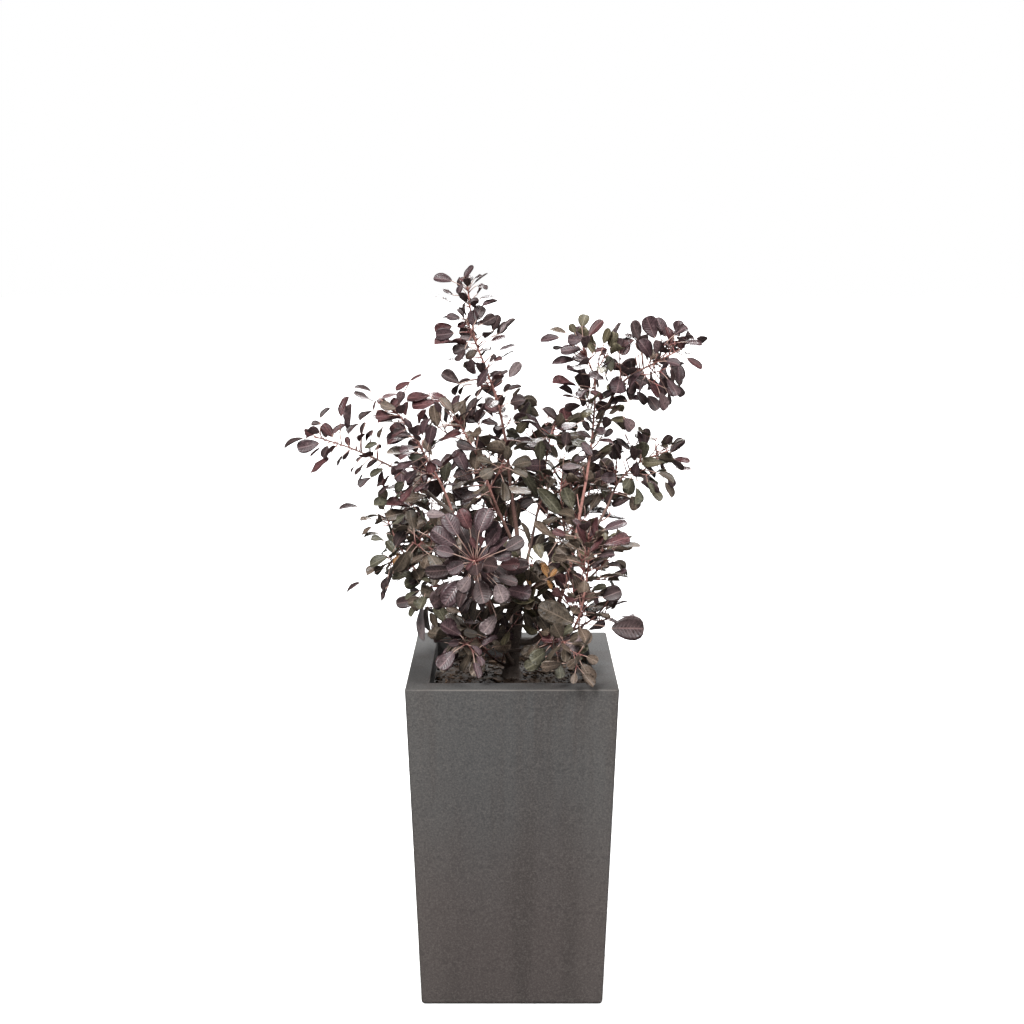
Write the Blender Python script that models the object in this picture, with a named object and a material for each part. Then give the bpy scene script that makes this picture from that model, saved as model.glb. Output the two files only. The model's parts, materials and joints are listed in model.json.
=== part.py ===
"""A purple-leaved smoke bush growing in a tall tapered square planter.

Metres, +Z up. The origin is the centre of the planter's flat underside, the planter's front faces -Y
and +X is to the right seen from the front. Every shoot is a smooth curve: its lower stretch is a bare,
tapering bough, and its upper stretch is the stem of one mass of leaves, which meets the bough's end.
"""

import math
import random

import bmesh
import bpy
from mathutils import Matrix, Vector
from mathutils.bvhtree import BVHTree
from mathutils.geometry import intersect_point_line

# Planter
RIM_SIDE = 0.400
FOOT_SIDE = 0.354
POT_HEIGHT = 0.650
RIM_WIDTH = 0.044
FLOOR_THICKNESS = 0.040
CORNER_RADIUS = 0.006
LIP_RADIUS = 0.003
SOIL_BELOW_RIM = 0.040
SOIL_TOP = POT_HEIGHT - SOIL_BELOW_RIM
GAP = 0.0003

# Trunk: from the flat cut at soil level to the fork
TRUNK_PATH = (
    (0.000, 0.000, SOIL_TOP + GAP), (0.001, -0.001, 0.645), (0.006, 0.000, 0.690), (0.012, 0.001, 0.740))
TRUNK_RADIUS = 0.0135
FLARE_RADIUS = 0.024
FLARE_HEIGHT = 0.035
FORK_RADIUS = 0.0105

# Leaves: a thin stalk with a spoon-shaped blade. Each of its rings is at a share of its length and has
# a share of its width.
STALK_LENGTH = 0.025
STALK_RADIUS = 0.0008
BLADE_LENGTH = 0.062
BLADE_WIDTH = 0.66
BLADE_THICKNESS = 0.0016
BLADE_RINGS = ((0.27, 0.78), (0.73, 0.96))
GOLDEN_ANGLE = math.radians(137.5)
STEM_TIP_RADIUS = 0.0019
TWIG_TIP_RADIUS = 0.0017
SEED = 41

# Every shoot: the limb it leaves and how far along, the points its curve runs through after that, the
# radius at its foot, the share of its length that is bare bough, then the leaves set on its stem, the
# twigs that branch from it, their length, the leaves on each, and the size of its leaves.
SHOOTS = {
    "tall": dict(
        parent="trunk", leaves_at=1.0, foot=0.0072, bare=0.44,
        path=((0.013, 0.005, 0.800), (0.012, 0.010, 0.880), (-0.002, 0.020, 0.990),
              (-0.012, 0.030, 1.080), (-0.030, 0.035, 1.165), (-0.055, 0.040, 1.235),
              (-0.074, 0.046, 1.290), (-0.086, 0.052, 1.385)),
        leaves=36, twigs=2, twig_length=0.055, twig_leaves=3, size=0.80),
    "right": dict(
        parent="trunk", leaves_at=0.62, foot=0.0066, bare=0.74,
        path=((0.045, -0.003, 0.690), (0.078, -0.006, 0.735), (0.112, -0.015, 0.835),
              (0.131, -0.025, 0.947), (0.146, -0.032, 1.040), (0.155, -0.038, 1.130),
              (0.156, -0.042, 1.210), (0.134, -0.050, 1.268)),
        leaves=22, twigs=2, twig_length=0.045, twig_leaves=3, size=0.84),
    "left": dict(
        parent="trunk", leaves_at=0.80, foot=0.0064, bare=0.60,
        path=((-0.025, -0.008, 0.735), (-0.060, -0.022, 0.810), (-0.098, -0.038, 0.910),
              (-0.132, -0.052, 1.005), (-0.163, -0.062, 1.065), (-0.188, -0.070, 1.115),
              (-0.222, -0.080, 1.160)),
        leaves=22, twigs=2, twig_length=0.065, twig_leaves=3, size=0.84),
    "front": dict(
        parent="trunk", leaves_at=0.30, foot=0.0062, bare=0.70,
        path=((-0.008, -0.035, 0.665), (-0.024, -0.075, 0.715), (-0.045, -0.130, 0.800),
              (-0.060, -0.185, 0.872), (-0.068, -0.240, 0.905)),
        leaves=22, twigs=2, twig_length=0.060, twig_leaves=3, size=1.02),
    "back": dict(
        parent="trunk", leaves_at=0.45, foot=0.0064, bare=0.58,
        path=((0.000, 0.045, 0.685), (-0.005, 0.095, 0.755), (-0.012, 0.160, 0.850),
              (-0.015, 0.225, 0.940), (-0.020, 0.290, 1.000)),
        leaves=18, twigs=3, twig_length=0.090, twig_leaves=3, size=1.05),
    "right_arm": dict(
        parent="right", leaves_at=0.715, foot=0.0038, bare=0.36,
        path=((0.182, -0.024, 1.160), (0.218, -0.008, 1.208), (0.275, 0.010, 1.238),
              (0.330, 0.035, 1.264)),
        leaves=18, twigs=5, twig_length=0.065, twig_leaves=3, size=0.82),
    "right_low": dict(
        parent="right", leaves_at=0.42, foot=0.0042, bare=0.42,
        path=((0.155, -0.012, 0.910), (0.185, 0.005, 0.955), (0.210, 0.030, 1.003),
              (0.253, 0.052, 1.038), (0.312, 0.066, 1.060)),
        leaves=16, twigs=3, twig_length=0.070, twig_leaves=3, size=0.86),
    "left_arm": dict(
        parent="left", leaves_at=0.545, foot=0.0040, bare=0.30,
        path=((-0.152, -0.040, 0.985), (-0.188, -0.024, 1.014), (-0.240, 0.004, 1.040),
              (-0.317, 0.030, 1.070), (-0.390, 0.050, 1.090)),
        leaves=26, twigs=3, twig_length=0.055, twig_leaves=3, size=0.78),
    "left_low": dict(
        parent="left", leaves_at=0.13, foot=0.0046, bare=0.40,
        path=((-0.068, -0.006, 0.772), (-0.120, 0.000, 0.788), (-0.176, 0.016, 0.812),
              (-0.222, 0.036, 0.870), (-0.254, 0.056, 0.935)),
        leaves=18, twigs=4, twig_length=0.090, twig_leaves=3, size=0.88),
    "centre_left": dict(
        parent="tall", leaves_at=0.20, foot=0.0042, bare=0.42,
        path=((-0.006, -0.004, 0.905), (-0.035, -0.016, 0.975), (-0.062, -0.018, 1.050),
              (-0.104, -0.022, 1.130)),
        leaves=18, twigs=2, twig_length=0.080, twig_leaves=3, size=0.92),
    "centre_back": dict(
        parent="tall", leaves_at=0.10, foot=0.0044, bare=0.46,
        path=((0.032, 0.040, 0.850), (0.048, 0.070, 0.920), (0.064, 0.090, 1.000),
              (0.074, 0.100, 1.070), (0.092, 0.112, 1.125)),
        leaves=18, twigs=3, twig_length=0.080, twig_leaves=3, size=0.92),
    "front_right": dict(
        parent="front", leaves_at=0.20, foot=0.0044, bare=0.38,
        path=((0.020, -0.075, 0.690), (0.072, -0.104, 0.712), (0.118, -0.122, 0.748),
              (0.140, -0.132, 0.840), (0.143, -0.142, 0.935)),
        leaves=24, twigs=2, twig_length=0.080, twig_leaves=3, size=1.0),
    "front_low": dict(
        parent="trunk", leaves_at=0.22, foot=0.0038, bare=0.36,
        path=((-0.030, -0.028, 0.655), (-0.052, -0.062, 0.685), (-0.066, -0.100, 0.720),
              (-0.085, -0.140, 0.745)),
        leaves=10, twigs=3, twig_length=0.075, twig_leaves=3, size=0.96),
    "right_foot": dict(
        parent="right", leaves_at=0.10, foot=0.0040, bare=0.36,
        path=((0.080, -0.030, 0.705), (0.115, -0.055, 0.722), (0.160, -0.060, 0.752),
              (0.196, -0.070, 0.800)),
        leaves=12, twigs=2, twig_length=0.075, twig_leaves=3, size=1.06),
    "front_foot": dict(
        parent="front_right", leaves_at=0.35, foot=0.0034, bare=0.30,
        path=((0.062, -0.122, 0.716), (0.088, -0.158, 0.730), (0.098, -0.196, 0.740)),
        leaves=12, twigs=2, twig_length=0.060, twig_leaves=3, size=1.0),
    "inner_left": dict(
        parent="left", leaves_at=0.26, foot=0.0040, bare=0.26,
        path=((-0.104, -0.026, 0.842), (-0.142, -0.014, 0.872), (-0.170, 0.000, 0.925)),
        leaves=14, twigs=2, twig_length=0.070, twig_leaves=3, size=0.92),
    "inner_right": dict(
        parent="right", leaves_at=0.26, foot=0.0040, bare=0.28,
        path=((0.135, -0.030, 0.810), (0.168, -0.046, 0.845), (0.196, -0.056, 0.885)),
        leaves=12, twigs=2, twig_length=0.070, twig_leaves=3, size=0.94),
    "centre_front": dict(
        parent="trunk", leaves_at=0.90, foot=0.0040, bare=0.34,
        path=((0.024, -0.045, 0.750), (0.028, -0.092, 0.780), (0.030, -0.132, 0.830)),
        leaves=14, twigs=2, twig_length=0.070, twig_leaves=3, size=0.98),
    "centre_right": dict(
        parent="right", leaves_at=0.33, foot=0.0040, bare=0.26,
        path=((0.106, 0.010, 0.895), (0.098, 0.024, 0.945), (0.096, 0.030, 1.000)),
        leaves=14, twigs=2, twig_length=0.065, twig_leaves=3, size=0.92),
    "back_left": dict(
        parent="back", leaves_at=0.30, foot=0.0044, bare=0.38,
        path=((-0.050, 0.125, 0.775), (-0.105, 0.165, 0.830), (-0.160, 0.200, 0.890),
              (-0.200, 0.230, 0.965)),
        leaves=16, twigs=3, twig_length=0.095, twig_leaves=3, size=1.05),
    "back_right": dict(
        parent="back", leaves_at=0.22, foot=0.0044, bare=0.38,
        path=((0.045, 0.115, 0.765), (0.100, 0.150, 0.830), (0.145, 0.185, 0.905),
              (0.172, 0.215, 0.990)),
        leaves=16, twigs=3, twig_length=0.095, twig_leaves=3, size=1.05),
}

STEPS_PER_SPAN = 2
STRAIGHT_END = 0.004
END_MARGIN = 0.03
LIMB_SIDES = 6
STEM_SIDES = 3
TWIG_SIDES = 3


def clear_scene():
    for obj in list(bpy.data.objects):
        bpy.data.objects.remove(obj, do_unlink=True)


def new_collection(name):
    collection = bpy.data.collections.new(name)
    bpy.context.scene.collection.children.link(collection)
    return collection


def new_material(name, colour, roughness):
    material = bpy.data.materials.new(name)
    material.use_nodes = True
    shader = material.node_tree.nodes["Principled BSDF"]
    shader.inputs["Base Color"].default_value = (*colour, 1.0)
    shader.inputs["Roughness"].default_value = roughness
    shader.inputs["Metallic"].default_value = 0.0
    return material


def new_object(name, mesh, collection, material=None):
    obj = bpy.data.objects.new(name, mesh)
    collection.objects.link(obj)
    if material:
        obj.data.materials.clear()
        obj.data.materials.append(material)
    return obj


def bake(obj):
    """Puts the object's evaluated mesh in place of its mesh and its modifiers."""
    bpy.context.view_layer.update()
    graph = bpy.context.evaluated_depsgraph_get()
    mesh = bpy.data.meshes.new_from_object(obj.evaluated_get(graph))
    obj.modifiers.clear()
    obj.data = mesh


# Curves

def catmull_rom(a, b, c, d, t):
    return 0.5 * (2 * b + (c - a) * t + (2 * a - 5 * b + 4 * c - d) * t**2 + (3 * b - a - 3 * c + d) * t**3)


def smooth_path(points):
    """A smooth line through the points, with a few steps in each span."""
    points = [Vector(point) for point in points]
    ends = [2 * points[0] - points[1], *points, 2 * points[-1] - points[-2]]
    line = []
    for a, b, c, d in zip(ends, ends[1:], ends[2:], ends[3:]):
        for step in range(STEPS_PER_SPAN):
            line.append(catmull_rom(a, b, c, d, step / STEPS_PER_SPAN))
    line.append(points[-1])
    return line


def lengths_along(line):
    """How far along the line each of its points lies, from 0 to 1."""
    total = [0.0]
    for a, b in zip(line, line[1:]):
        total.append(total[-1] + (b - a).length)
    return [length / total[-1] for length in total]


def place_on(line, share):
    """The point that far along the line, and the line's direction there."""
    marks = lengths_along(line)
    for index in range(len(line) - 1):
        if share <= marks[index + 1] or index == len(line) - 2:
            span = marks[index + 1] - marks[index]
            part = (share - marks[index]) / span
            direction = (line[index + 1] - line[index]).normalized()
            return line[index].lerp(line[index + 1], part), direction


def split_line(line, share):
    """The line in two at that share of its length, with a gap there between square ends."""
    joint, direction = place_on(line, share)
    marks = lengths_along(line)
    below = [point for point, mark in zip(line, marks) if mark < share - END_MARGIN]
    above = [point for point, mark in zip(line, marks) if mark > share + END_MARGIN]
    lower = [*below, joint - direction * STRAIGHT_END, joint]
    upper = [joint + direction * GAP, joint + direction * STRAIGHT_END, *above]
    return lower, upper


def distance_to(line, point):
    nearest = math.inf
    for a, b in zip(line, line[1:]):
        foot, share = intersect_point_line(point, a, b)
        foot = a if share < 0 else b if share > 1 else foot
        nearest = min(nearest, (point - foot).length)
    return nearest


def tube_mesh(name, line, radii, sides):
    """A closed tube along the line, swept with a regular polygon that is scaled at each point."""
    profile = bpy.data.curves.new("profile", "CURVE")
    ring = profile.splines.new("POLY")
    ring.points.add(sides - 1)
    for index, point in enumerate(ring.points):
        angle = 2 * math.pi * index / sides
        point.co = (math.cos(angle), math.sin(angle), 0, 1)
    ring.use_cyclic_u = True
    profile_object = bpy.data.objects.new("profile", profile)

    curve = bpy.data.curves.new(name, "CURVE")
    curve.dimensions = "3D"
    curve.bevel_mode = "OBJECT"
    curve.bevel_object = profile_object
    curve.use_fill_caps = True
    spline = curve.splines.new("POLY")
    spline.points.add(len(line) - 1)
    for point, place, radius in zip(spline.points, line, radii):
        point.co = (*place, 1)
        point.radius = radius
    curve_object = bpy.data.objects.new(name, curve)
    for helper in (profile_object, curve_object):
        bpy.context.scene.collection.objects.link(helper)

    bpy.context.view_layer.update()
    graph = bpy.context.evaluated_depsgraph_get()
    mesh = bpy.data.meshes.new_from_object(curve_object.evaluated_get(graph))
    for helper in (curve_object, profile_object):
        bpy.data.objects.remove(helper, do_unlink=True)
    shape = bmesh.new()
    shape.from_mesh(mesh)
    bmesh.ops.remove_doubles(shape, verts=shape.verts, dist=1e-5)
    bmesh.ops.recalc_face_normals(shape, faces=shape.faces)
    shape.to_mesh(mesh)
    shape.free()
    return mesh


def tree_of(mesh):
    return BVHTree.FromPolygons([v.co for v in mesh.vertices], [tuple(p.vertices) for p in mesh.polygons])


# Planter and soil

def tapered_block(name, collection, bottom_side, top_side, bottom, top, material=None):
    """A square block between two heights, narrower at its foot, with rounded upright edges."""
    shape = bmesh.new()
    bmesh.ops.create_cube(shape, size=1)
    for vertex in shape.verts:
        upper = vertex.co.z > 0
        side = top_side if upper else bottom_side
        vertex.co = (vertex.co.x * side, vertex.co.y * side, top if upper else bottom)
    uprights = [edge for edge in shape.edges if abs(edge.verts[0].co.z - edge.verts[1].co.z) > 0.01]
    bmesh.ops.bevel(shape, geom=uprights, offset=CORNER_RADIUS, segments=3, profile=0.5, affect="EDGES")
    mesh = bpy.data.meshes.new(name)
    shape.to_mesh(mesh)
    shape.free()
    return new_object(name, mesh, collection, material)


def side_at(height):
    return FOOT_SIDE + (RIM_SIDE - FOOT_SIDE) * height / POT_HEIGHT


def build_pot(collection, cutters, material):
    """The planter: a thick open shell, widest at its flat rim."""
    pot = tapered_block("pot", collection, FOOT_SIDE, RIM_SIDE, 0.0, POT_HEIGHT, material)
    over = POT_HEIGHT + 0.02
    walls = 2 * RIM_WIDTH
    inside = tapered_block(
        "pot_inside", cutters, side_at(FLOOR_THICKNESS) - walls, side_at(over) - walls, FLOOR_THICKNESS, over)
    inside.hide_render = True
    inside.display_type = "WIRE"
    hollow = pot.modifiers.new("Hollow", "BOOLEAN")
    hollow.operation = "DIFFERENCE"
    hollow.object = inside
    bake(pot)
    shape = bmesh.new()
    shape.from_mesh(pot.data)
    lip = [
        edge for edge in shape.edges
        if min(vertex.co.z for vertex in edge.verts) > POT_HEIGHT - 1e-5 and edge.calc_face_angle() > 1]
    bmesh.ops.bevel(shape, geom=lip, offset=LIP_RADIUS, segments=2, profile=0.5, affect="EDGES")
    shape.to_mesh(pot.data)
    shape.free()


def build_soil(collection, material):
    """The soil that fills the planter to a little below its rim."""
    bottom = FLOOR_THICKNESS + GAP
    inset = 2 * (RIM_WIDTH + GAP)
    tapered_block(
        "soil", collection, side_at(bottom) - inset, side_at(SOIL_TOP) - inset, bottom, SOIL_TOP, material)


# Trunk and boughs

def limb_radii(line, foot, tip):
    return [foot + (tip - foot) * mark for mark in lengths_along(line)]


def trunk_radii(line):
    """The trunk's taper, with the root flare added over its lowest stretch."""
    radii = []
    for point, mark in zip(line, lengths_along(line)):
        flare = max(0.0, 1 - (point.z - SOIL_TOP) / FLARE_HEIGHT) ** 2
        tapered = TRUNK_RADIUS + (FORK_RADIUS - TRUNK_RADIUS) * mark
        radii.append(tapered + (FLARE_RADIUS - TRUNK_RADIUS) * flare)
    return radii


def cut_clear(limb, line, radii, cutters):
    """Cuts the limb back from its parent, a gap clear of the parent's bark."""
    wider = [radius + GAP for radius in radii]
    cutter = new_object(limb.name + "_clearance", tube_mesh("clearance", line, wider, LIMB_SIDES), cutters)
    cutter.hide_render = True
    cutter.display_type = "WIRE"
    cut = limb.modifiers.new("Clear of parent", "BOOLEAN")
    cut.operation = "DIFFERENCE"
    cut.object = cutter


def build_limbs(collection, cutters, bark):
    """The trunk and one bough for each shoot. Returns the line and the foot radius of each mass's stem."""
    line = smooth_path(TRUNK_PATH)
    line.insert(1, line[0] + Vector((0, 0, STRAIGHT_END)))
    limbs = {"trunk": (line, trunk_radii(line))}
    new_object("trunk", tube_mesh("trunk", *limbs["trunk"], LIMB_SIDES), collection, bark)
    stems = {}
    for name, shoot in SHOOTS.items():
        parent_line, parent_radii = limbs[shoot["parent"]]
        start, direction = place_on(parent_line, shoot["leaves_at"])
        ends_trunk = shoot["leaves_at"] == 1.0
        whole = smooth_path([start, *shoot["path"]])
        if ends_trunk:
            whole = [start + direction * GAP, start + direction * STRAIGHT_END, *whole[1:]]
        tip_of_bough = shoot["foot"] + (STEM_TIP_RADIUS - shoot["foot"]) * shoot["bare"]
        line, stem = split_line(whole, shoot["bare"])
        radii = limb_radii(line, shoot["foot"], tip_of_bough)
        limbs[name] = (line, radii)
        bough = new_object("bough_" + name, tube_mesh(name, line, radii, LIMB_SIDES), collection, bark)
        if not ends_trunk:
            cut_clear(bough, parent_line, parent_radii, cutters)
        stems[name] = (stem, tip_of_bough)
    return stems


# Leaves

def leaf_shape(root, stalk_end, blade, normal, width, thicken=0.0):
    """A leaf of 22 faces: a three-sided stalk, drawn out flat through the blade's rings to its tip."""
    along = stalk_end - root
    across = along.cross(normal).normalized()
    shape = bmesh.new()
    ring_radius = STALK_RADIUS * 0.8 + thicken
    bmesh.ops.create_cone(
        shape, cap_ends=True, segments=3, radius1=STALK_RADIUS + thicken, radius2=ring_radius,
        depth=along.length)
    end = next(face for face in shape.faces if face.normal.z > 0.9)
    turn = Matrix((across, across.cross(along).normalized() * -1, along.normalized())).transposed()
    bmesh.ops.transform(
        shape, matrix=Matrix.Translation((root + stalk_end) / 2) @ turn.to_4x4(), verts=shape.verts)

    across = blade.cross(normal).normalized()
    corners = [(vertex.co - stalk_end) / ring_radius for vertex in end.verts]
    half_height = BLADE_THICKNESS / 1.5 + thicken
    for along_blade, share_of_width in BLADE_RINGS:
        half_width = (width / 2 * share_of_width + thicken) / math.sin(math.radians(60))
        end = bmesh.ops.extrude_discrete_faces(shape, faces=[end])["faces"][0]
        for vertex, corner in zip(end.verts, corners):
            sideways = across * corner.dot(across) * half_width
            upward = normal * corner.dot(normal) * half_height
            vertex.co = stalk_end + blade * along_blade + sideways + upward
    tip = bmesh.ops.poke(shape, faces=[end])["verts"][0]
    tip.co = stalk_end + blade
    bmesh.ops.recalc_face_normals(shape, faces=shape.faces)
    return shape


class Foliage:
    """Places leaves and twigs one by one, each clear of everything that was placed before it."""

    def __init__(self, stems, solids):
        self.stems = stems
        self.placed = [(None, None, tree_of(mesh)) for mesh in solids]

    def keeps_space(self, name, point):
        """True where no other mass's stem is nearer than this mass's own."""
        distances = {other: distance_to(line, point) for other, (line, _) in self.stems.items()}
        return distances[name] == min(distances.values())

    def is_clear(self, tree, centre, reach, ignore=()):
        for index, (middle, radius, other) in enumerate(self.placed):
            if index in ignore:
                continue
            if middle is not None and (middle - centre).length > radius + reach:
                continue
            if tree.overlap(other):
                return False
        return True

    def add(self, mesh, centre, reach):
        self.placed.append((centre, reach, tree_of(mesh)))
        return len(self.placed) - 1


def any_across(direction):
    across = direction.cross(Vector((0, 0, 1)))
    if across.length < 0.2:
        across = direction.cross(Vector((0, 1, 0)))
    return across.normalized()


def around(direction, angle):
    """A unit vector square to the direction, turned round it by the angle."""
    return Matrix.Rotation(angle, 3, direction) @ any_across(direction)


def grow_leaf(foliage, name, at, direction, turn, opening, size, draw, holder, parts):
    """Tries a leaf at this place on its twig, and keeps it where it is clear and in its mass's space."""
    outward = around(direction, turn)
    for attempt in range(4):
        spread = opening + draw.uniform(-0.16, 0.16) + 0.12 * attempt * draw.choice((-1, 1))
        stalk = direction * math.cos(spread) + outward * math.sin(spread)
        stalk_length = STALK_LENGTH * size * draw.uniform(0.8, 1.25)
        blade_length = BLADE_LENGTH * size * draw.uniform(0.86, 1.14)
        sag = Vector((0, 0, -1)) * draw.uniform(0.05, 0.40)
        blade = (stalk + sag + around(direction, draw.uniform(0, 6.28)) * 0.12).normalized() * blade_length
        stalk_end = at + stalk * stalk_length
        upper = (direction + Vector((0, 0, 0.5))).normalized()
        unit = blade.normalized()
        normal = upper - unit * upper.dot(unit)
        if normal.length < 0.2:
            normal = outward
            normal = normal - unit * normal.dot(unit)
        normal = Matrix.Rotation(draw.uniform(-1.1, 1.1), 3, unit) @ normal.normalized()
        width = blade_length * BLADE_WIDTH
        centre = stalk_end + blade * 0.5
        reach = blade_length * 0.5 + stalk_length
        if not foliage.keeps_space(name, centre):
            continue
        test = leaf_shape(at + stalk * 0.006, stalk_end, blade, normal, width, thicken=0.0004)
        tree = BVHTree.FromBMesh(test)
        test.free()
        if not foliage.is_clear(tree, centre, reach, ignore=(holder,)):
            continue
        shape = leaf_shape(at, stalk_end, blade, normal, width)
        mesh = bpy.data.meshes.new("leaf")
        shape.to_mesh(mesh)
        shape.free()
        foliage.add(mesh, centre, reach)
        new_object("leaf", mesh, parts)
        return True
    return False


def leaf_row(foliage, name, line, count, first, size, draw, holder, parts):
    """Leaves in a spiral along a stem or twig, closer and smaller towards its tip, and one that ends it."""
    turn = draw.uniform(0, 2 * math.pi)
    for index in range(count):
        share = (index + 0.5) / count
        at, direction = place_on(line, first + (0.985 - first) * share**0.8)
        opening = math.radians(74 - 38 * share**1.5)
        scale = size * (1.04 - 0.26 * share**2)
        grow_leaf(foliage, name, at, direction, turn, opening, scale, draw, holder, parts)
        turn += GOLDEN_ANGLE
    at, direction = place_on(line, 0.97)
    grow_leaf(foliage, name, at, direction, turn, math.radians(12), size * 0.72, draw, holder, parts)


def grow_mass(foliage, name, shoot, collection, material):
    """One mass of leaves: a stem, the twigs spaced round it, and the leaves on both, all one solid."""
    draw = random.Random(SEED + 100 * list(SHOOTS).index(name))
    parts = bpy.data.collections.new("parts_of_" + name)
    line, foot = foliage.stems[name]
    mesh = tube_mesh("stem", line, limb_radii(line, foot, STEM_TIP_RADIUS), STEM_SIDES)
    stem = new_object("leaves_" + name, mesh, collection, material)
    length = sum((b - a).length for a, b in zip(line, line[1:]))
    middle, _ = place_on(line, 0.5)
    stem_index = foliage.add(mesh, middle, length)

    turn = draw.uniform(0, 2 * math.pi)
    for index in range(shoot["twigs"]):
        share = 0.08 + 0.72 * (index + 0.5) / shoot["twigs"]
        at, direction = place_on(line, share)
        turn += GOLDEN_ANGLE
        outward = around(direction, turn)
        heading = (direction * 0.75 + outward + Vector((0, 0, 0.25))).normalized()
        reach = shoot["twig_length"] * draw.uniform(0.75, 1.2)
        bend = at + heading * reach * 0.5
        tip = bend + (heading + Vector((0, 0, 0.35))).normalized() * reach * 0.5
        twig_line = [at, bend, tip]
        if not foliage.keeps_space(name, tip):
            continue
        twig_foot = 0.85 * (foot + (STEM_TIP_RADIUS - foot) * share)
        radii = limb_radii(twig_line, twig_foot, TWIG_TIP_RADIUS)
        twig_mesh = tube_mesh("twig", twig_line, radii, TWIG_SIDES)
        if not foliage.is_clear(tree_of(twig_mesh), bend, reach, ignore=(stem_index,)):
            bpy.data.meshes.remove(twig_mesh)
            continue
        twig_index = foliage.add(twig_mesh, bend, reach * 0.6)
        new_object("twig", twig_mesh, parts)
        leaf_row(
            foliage, name, twig_line, shoot["twig_leaves"], 0.30, shoot["size"], draw, twig_index, parts)
    leaf_row(foliage, name, line, shoot["leaves"], 0.04, shoot["size"], draw, stem_index, parts)

    bpy.context.scene.collection.children.link(parts)
    join = stem.modifiers.new("Join", "BOOLEAN")
    join.operation = "UNION"
    join.operand_type = "COLLECTION"
    join.collection = parts
    join.solver = "MANIFOLD"
    bake(stem)
    for obj in list(parts.objects):
        bpy.data.objects.remove(obj, do_unlink=True)
    bpy.data.collections.remove(parts)


def main():
    clear_scene()
    plant = new_collection("Smoke bush in a planter")
    cutters = new_collection("Cutters")
    clay = new_material("Fibre clay", (0.105, 0.092, 0.088), 0.82)
    earth = new_material("Potting soil", (0.030, 0.022, 0.017), 0.95)
    bark = new_material("Bark", (0.230, 0.130, 0.110), 0.75)
    leaf = new_material("Purple leaf", (0.060, 0.022, 0.032), 0.50)

    build_pot(plant, cutters, clay)
    build_soil(plant, earth)
    stems = build_limbs(plant, cutters, bark)
    bpy.context.view_layer.update()
    graph = bpy.context.evaluated_depsgraph_get()
    solids = [obj.evaluated_get(graph).to_mesh() for obj in plant.objects]
    foliage = Foliage(stems, solids)
    for name, shoot in SHOOTS.items():
        grow_mass(foliage, name, shoot, plant, leaf)


main()
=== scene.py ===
"""The looks of a purple-leaved smoke bush in its planter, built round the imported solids.

Metres, +Z up. The planter's front faces -Y and +X is to the right seen from the front.
"""

import json
import math
import random

import bmesh
import bpy
import numpy as np
from mathutils import Matrix, Vector
from mathutils.bvhtree import BVHTree
from mathutils.geometry import intersect_point_line

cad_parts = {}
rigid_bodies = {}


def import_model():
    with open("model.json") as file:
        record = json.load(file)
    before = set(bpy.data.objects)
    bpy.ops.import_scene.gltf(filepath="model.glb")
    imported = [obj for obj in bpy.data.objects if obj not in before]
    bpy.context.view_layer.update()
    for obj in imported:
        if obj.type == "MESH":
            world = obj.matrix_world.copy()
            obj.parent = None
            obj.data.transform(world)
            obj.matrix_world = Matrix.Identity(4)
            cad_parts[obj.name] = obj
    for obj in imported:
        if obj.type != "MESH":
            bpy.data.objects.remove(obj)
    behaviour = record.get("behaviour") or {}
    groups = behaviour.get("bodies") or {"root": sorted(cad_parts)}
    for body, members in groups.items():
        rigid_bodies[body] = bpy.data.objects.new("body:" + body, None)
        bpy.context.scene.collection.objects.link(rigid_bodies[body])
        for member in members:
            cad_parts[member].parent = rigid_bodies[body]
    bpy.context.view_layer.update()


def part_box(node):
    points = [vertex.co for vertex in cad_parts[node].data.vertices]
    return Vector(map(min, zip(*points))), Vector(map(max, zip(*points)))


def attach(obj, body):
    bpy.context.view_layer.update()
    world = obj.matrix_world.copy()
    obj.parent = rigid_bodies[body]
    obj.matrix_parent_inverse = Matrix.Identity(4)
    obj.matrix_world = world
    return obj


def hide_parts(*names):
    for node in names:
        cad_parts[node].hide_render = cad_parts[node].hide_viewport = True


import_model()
bpy.ops.object.select_all(action="DESELECT")


# Planter
# A tall tapered square planter, cast in one piece from fibre clay: thick walls with a flat rim and softly
# rounded corners. It is warm grey and matt, pitted by the mould, browner towards its foot, and streaked a
# little where water has run down from the rim. Its rounded lip carries a painted highlight where it faces
# upwards.
pot_low, pot_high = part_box("pot")
RIM_SIDE = pot_high.x - pot_low.x
POT_HEIGHT = pot_high.z
FOOT_SIDE = 0.885 * RIM_SIDE
RIM_WIDTH = 0.044
FLOOR_THICKNESS = 0.040
CORNER_RADIUS = 0.006
LIP_RADIUS = 0.003
FOOT_RADIUS = 0.008
CORNER_STEPS = 6
EDGE_STEPS = 4
UPPER_GREY = (0.0400, 0.0392, 0.0388)
LOWER_BROWN = (0.0420, 0.0325, 0.0300)
STREAK_BROWN = (0.025, 0.019, 0.017)
# Pale clay, which is also the colour of the painted highlight on the lip.
PALE_CLAY_AND_HIGHLIGHT = (0.130, 0.116, 0.105)
PIT_DARK = (0.020, 0.017, 0.016)

# How high above the foot the clay is chipped, how far from the middle of each side it begins to turn paler
# towards the corners, and where it is palest.
CHIP_HEIGHT = 0.014
PALER_FROM = 0.08
PALEST_FROM = 0.20

# How strongly each kind of mark on the clay shows, the painted highlight on the lip among them.
STREAKS_SHOW = 0.62
CORNERS_SHOW = 0.12
SPECKLES_SHOW = 0.32
PITS_SHOW = 0.65
LIP_HIGHLIGHT_SHOWS = 0.55


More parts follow.
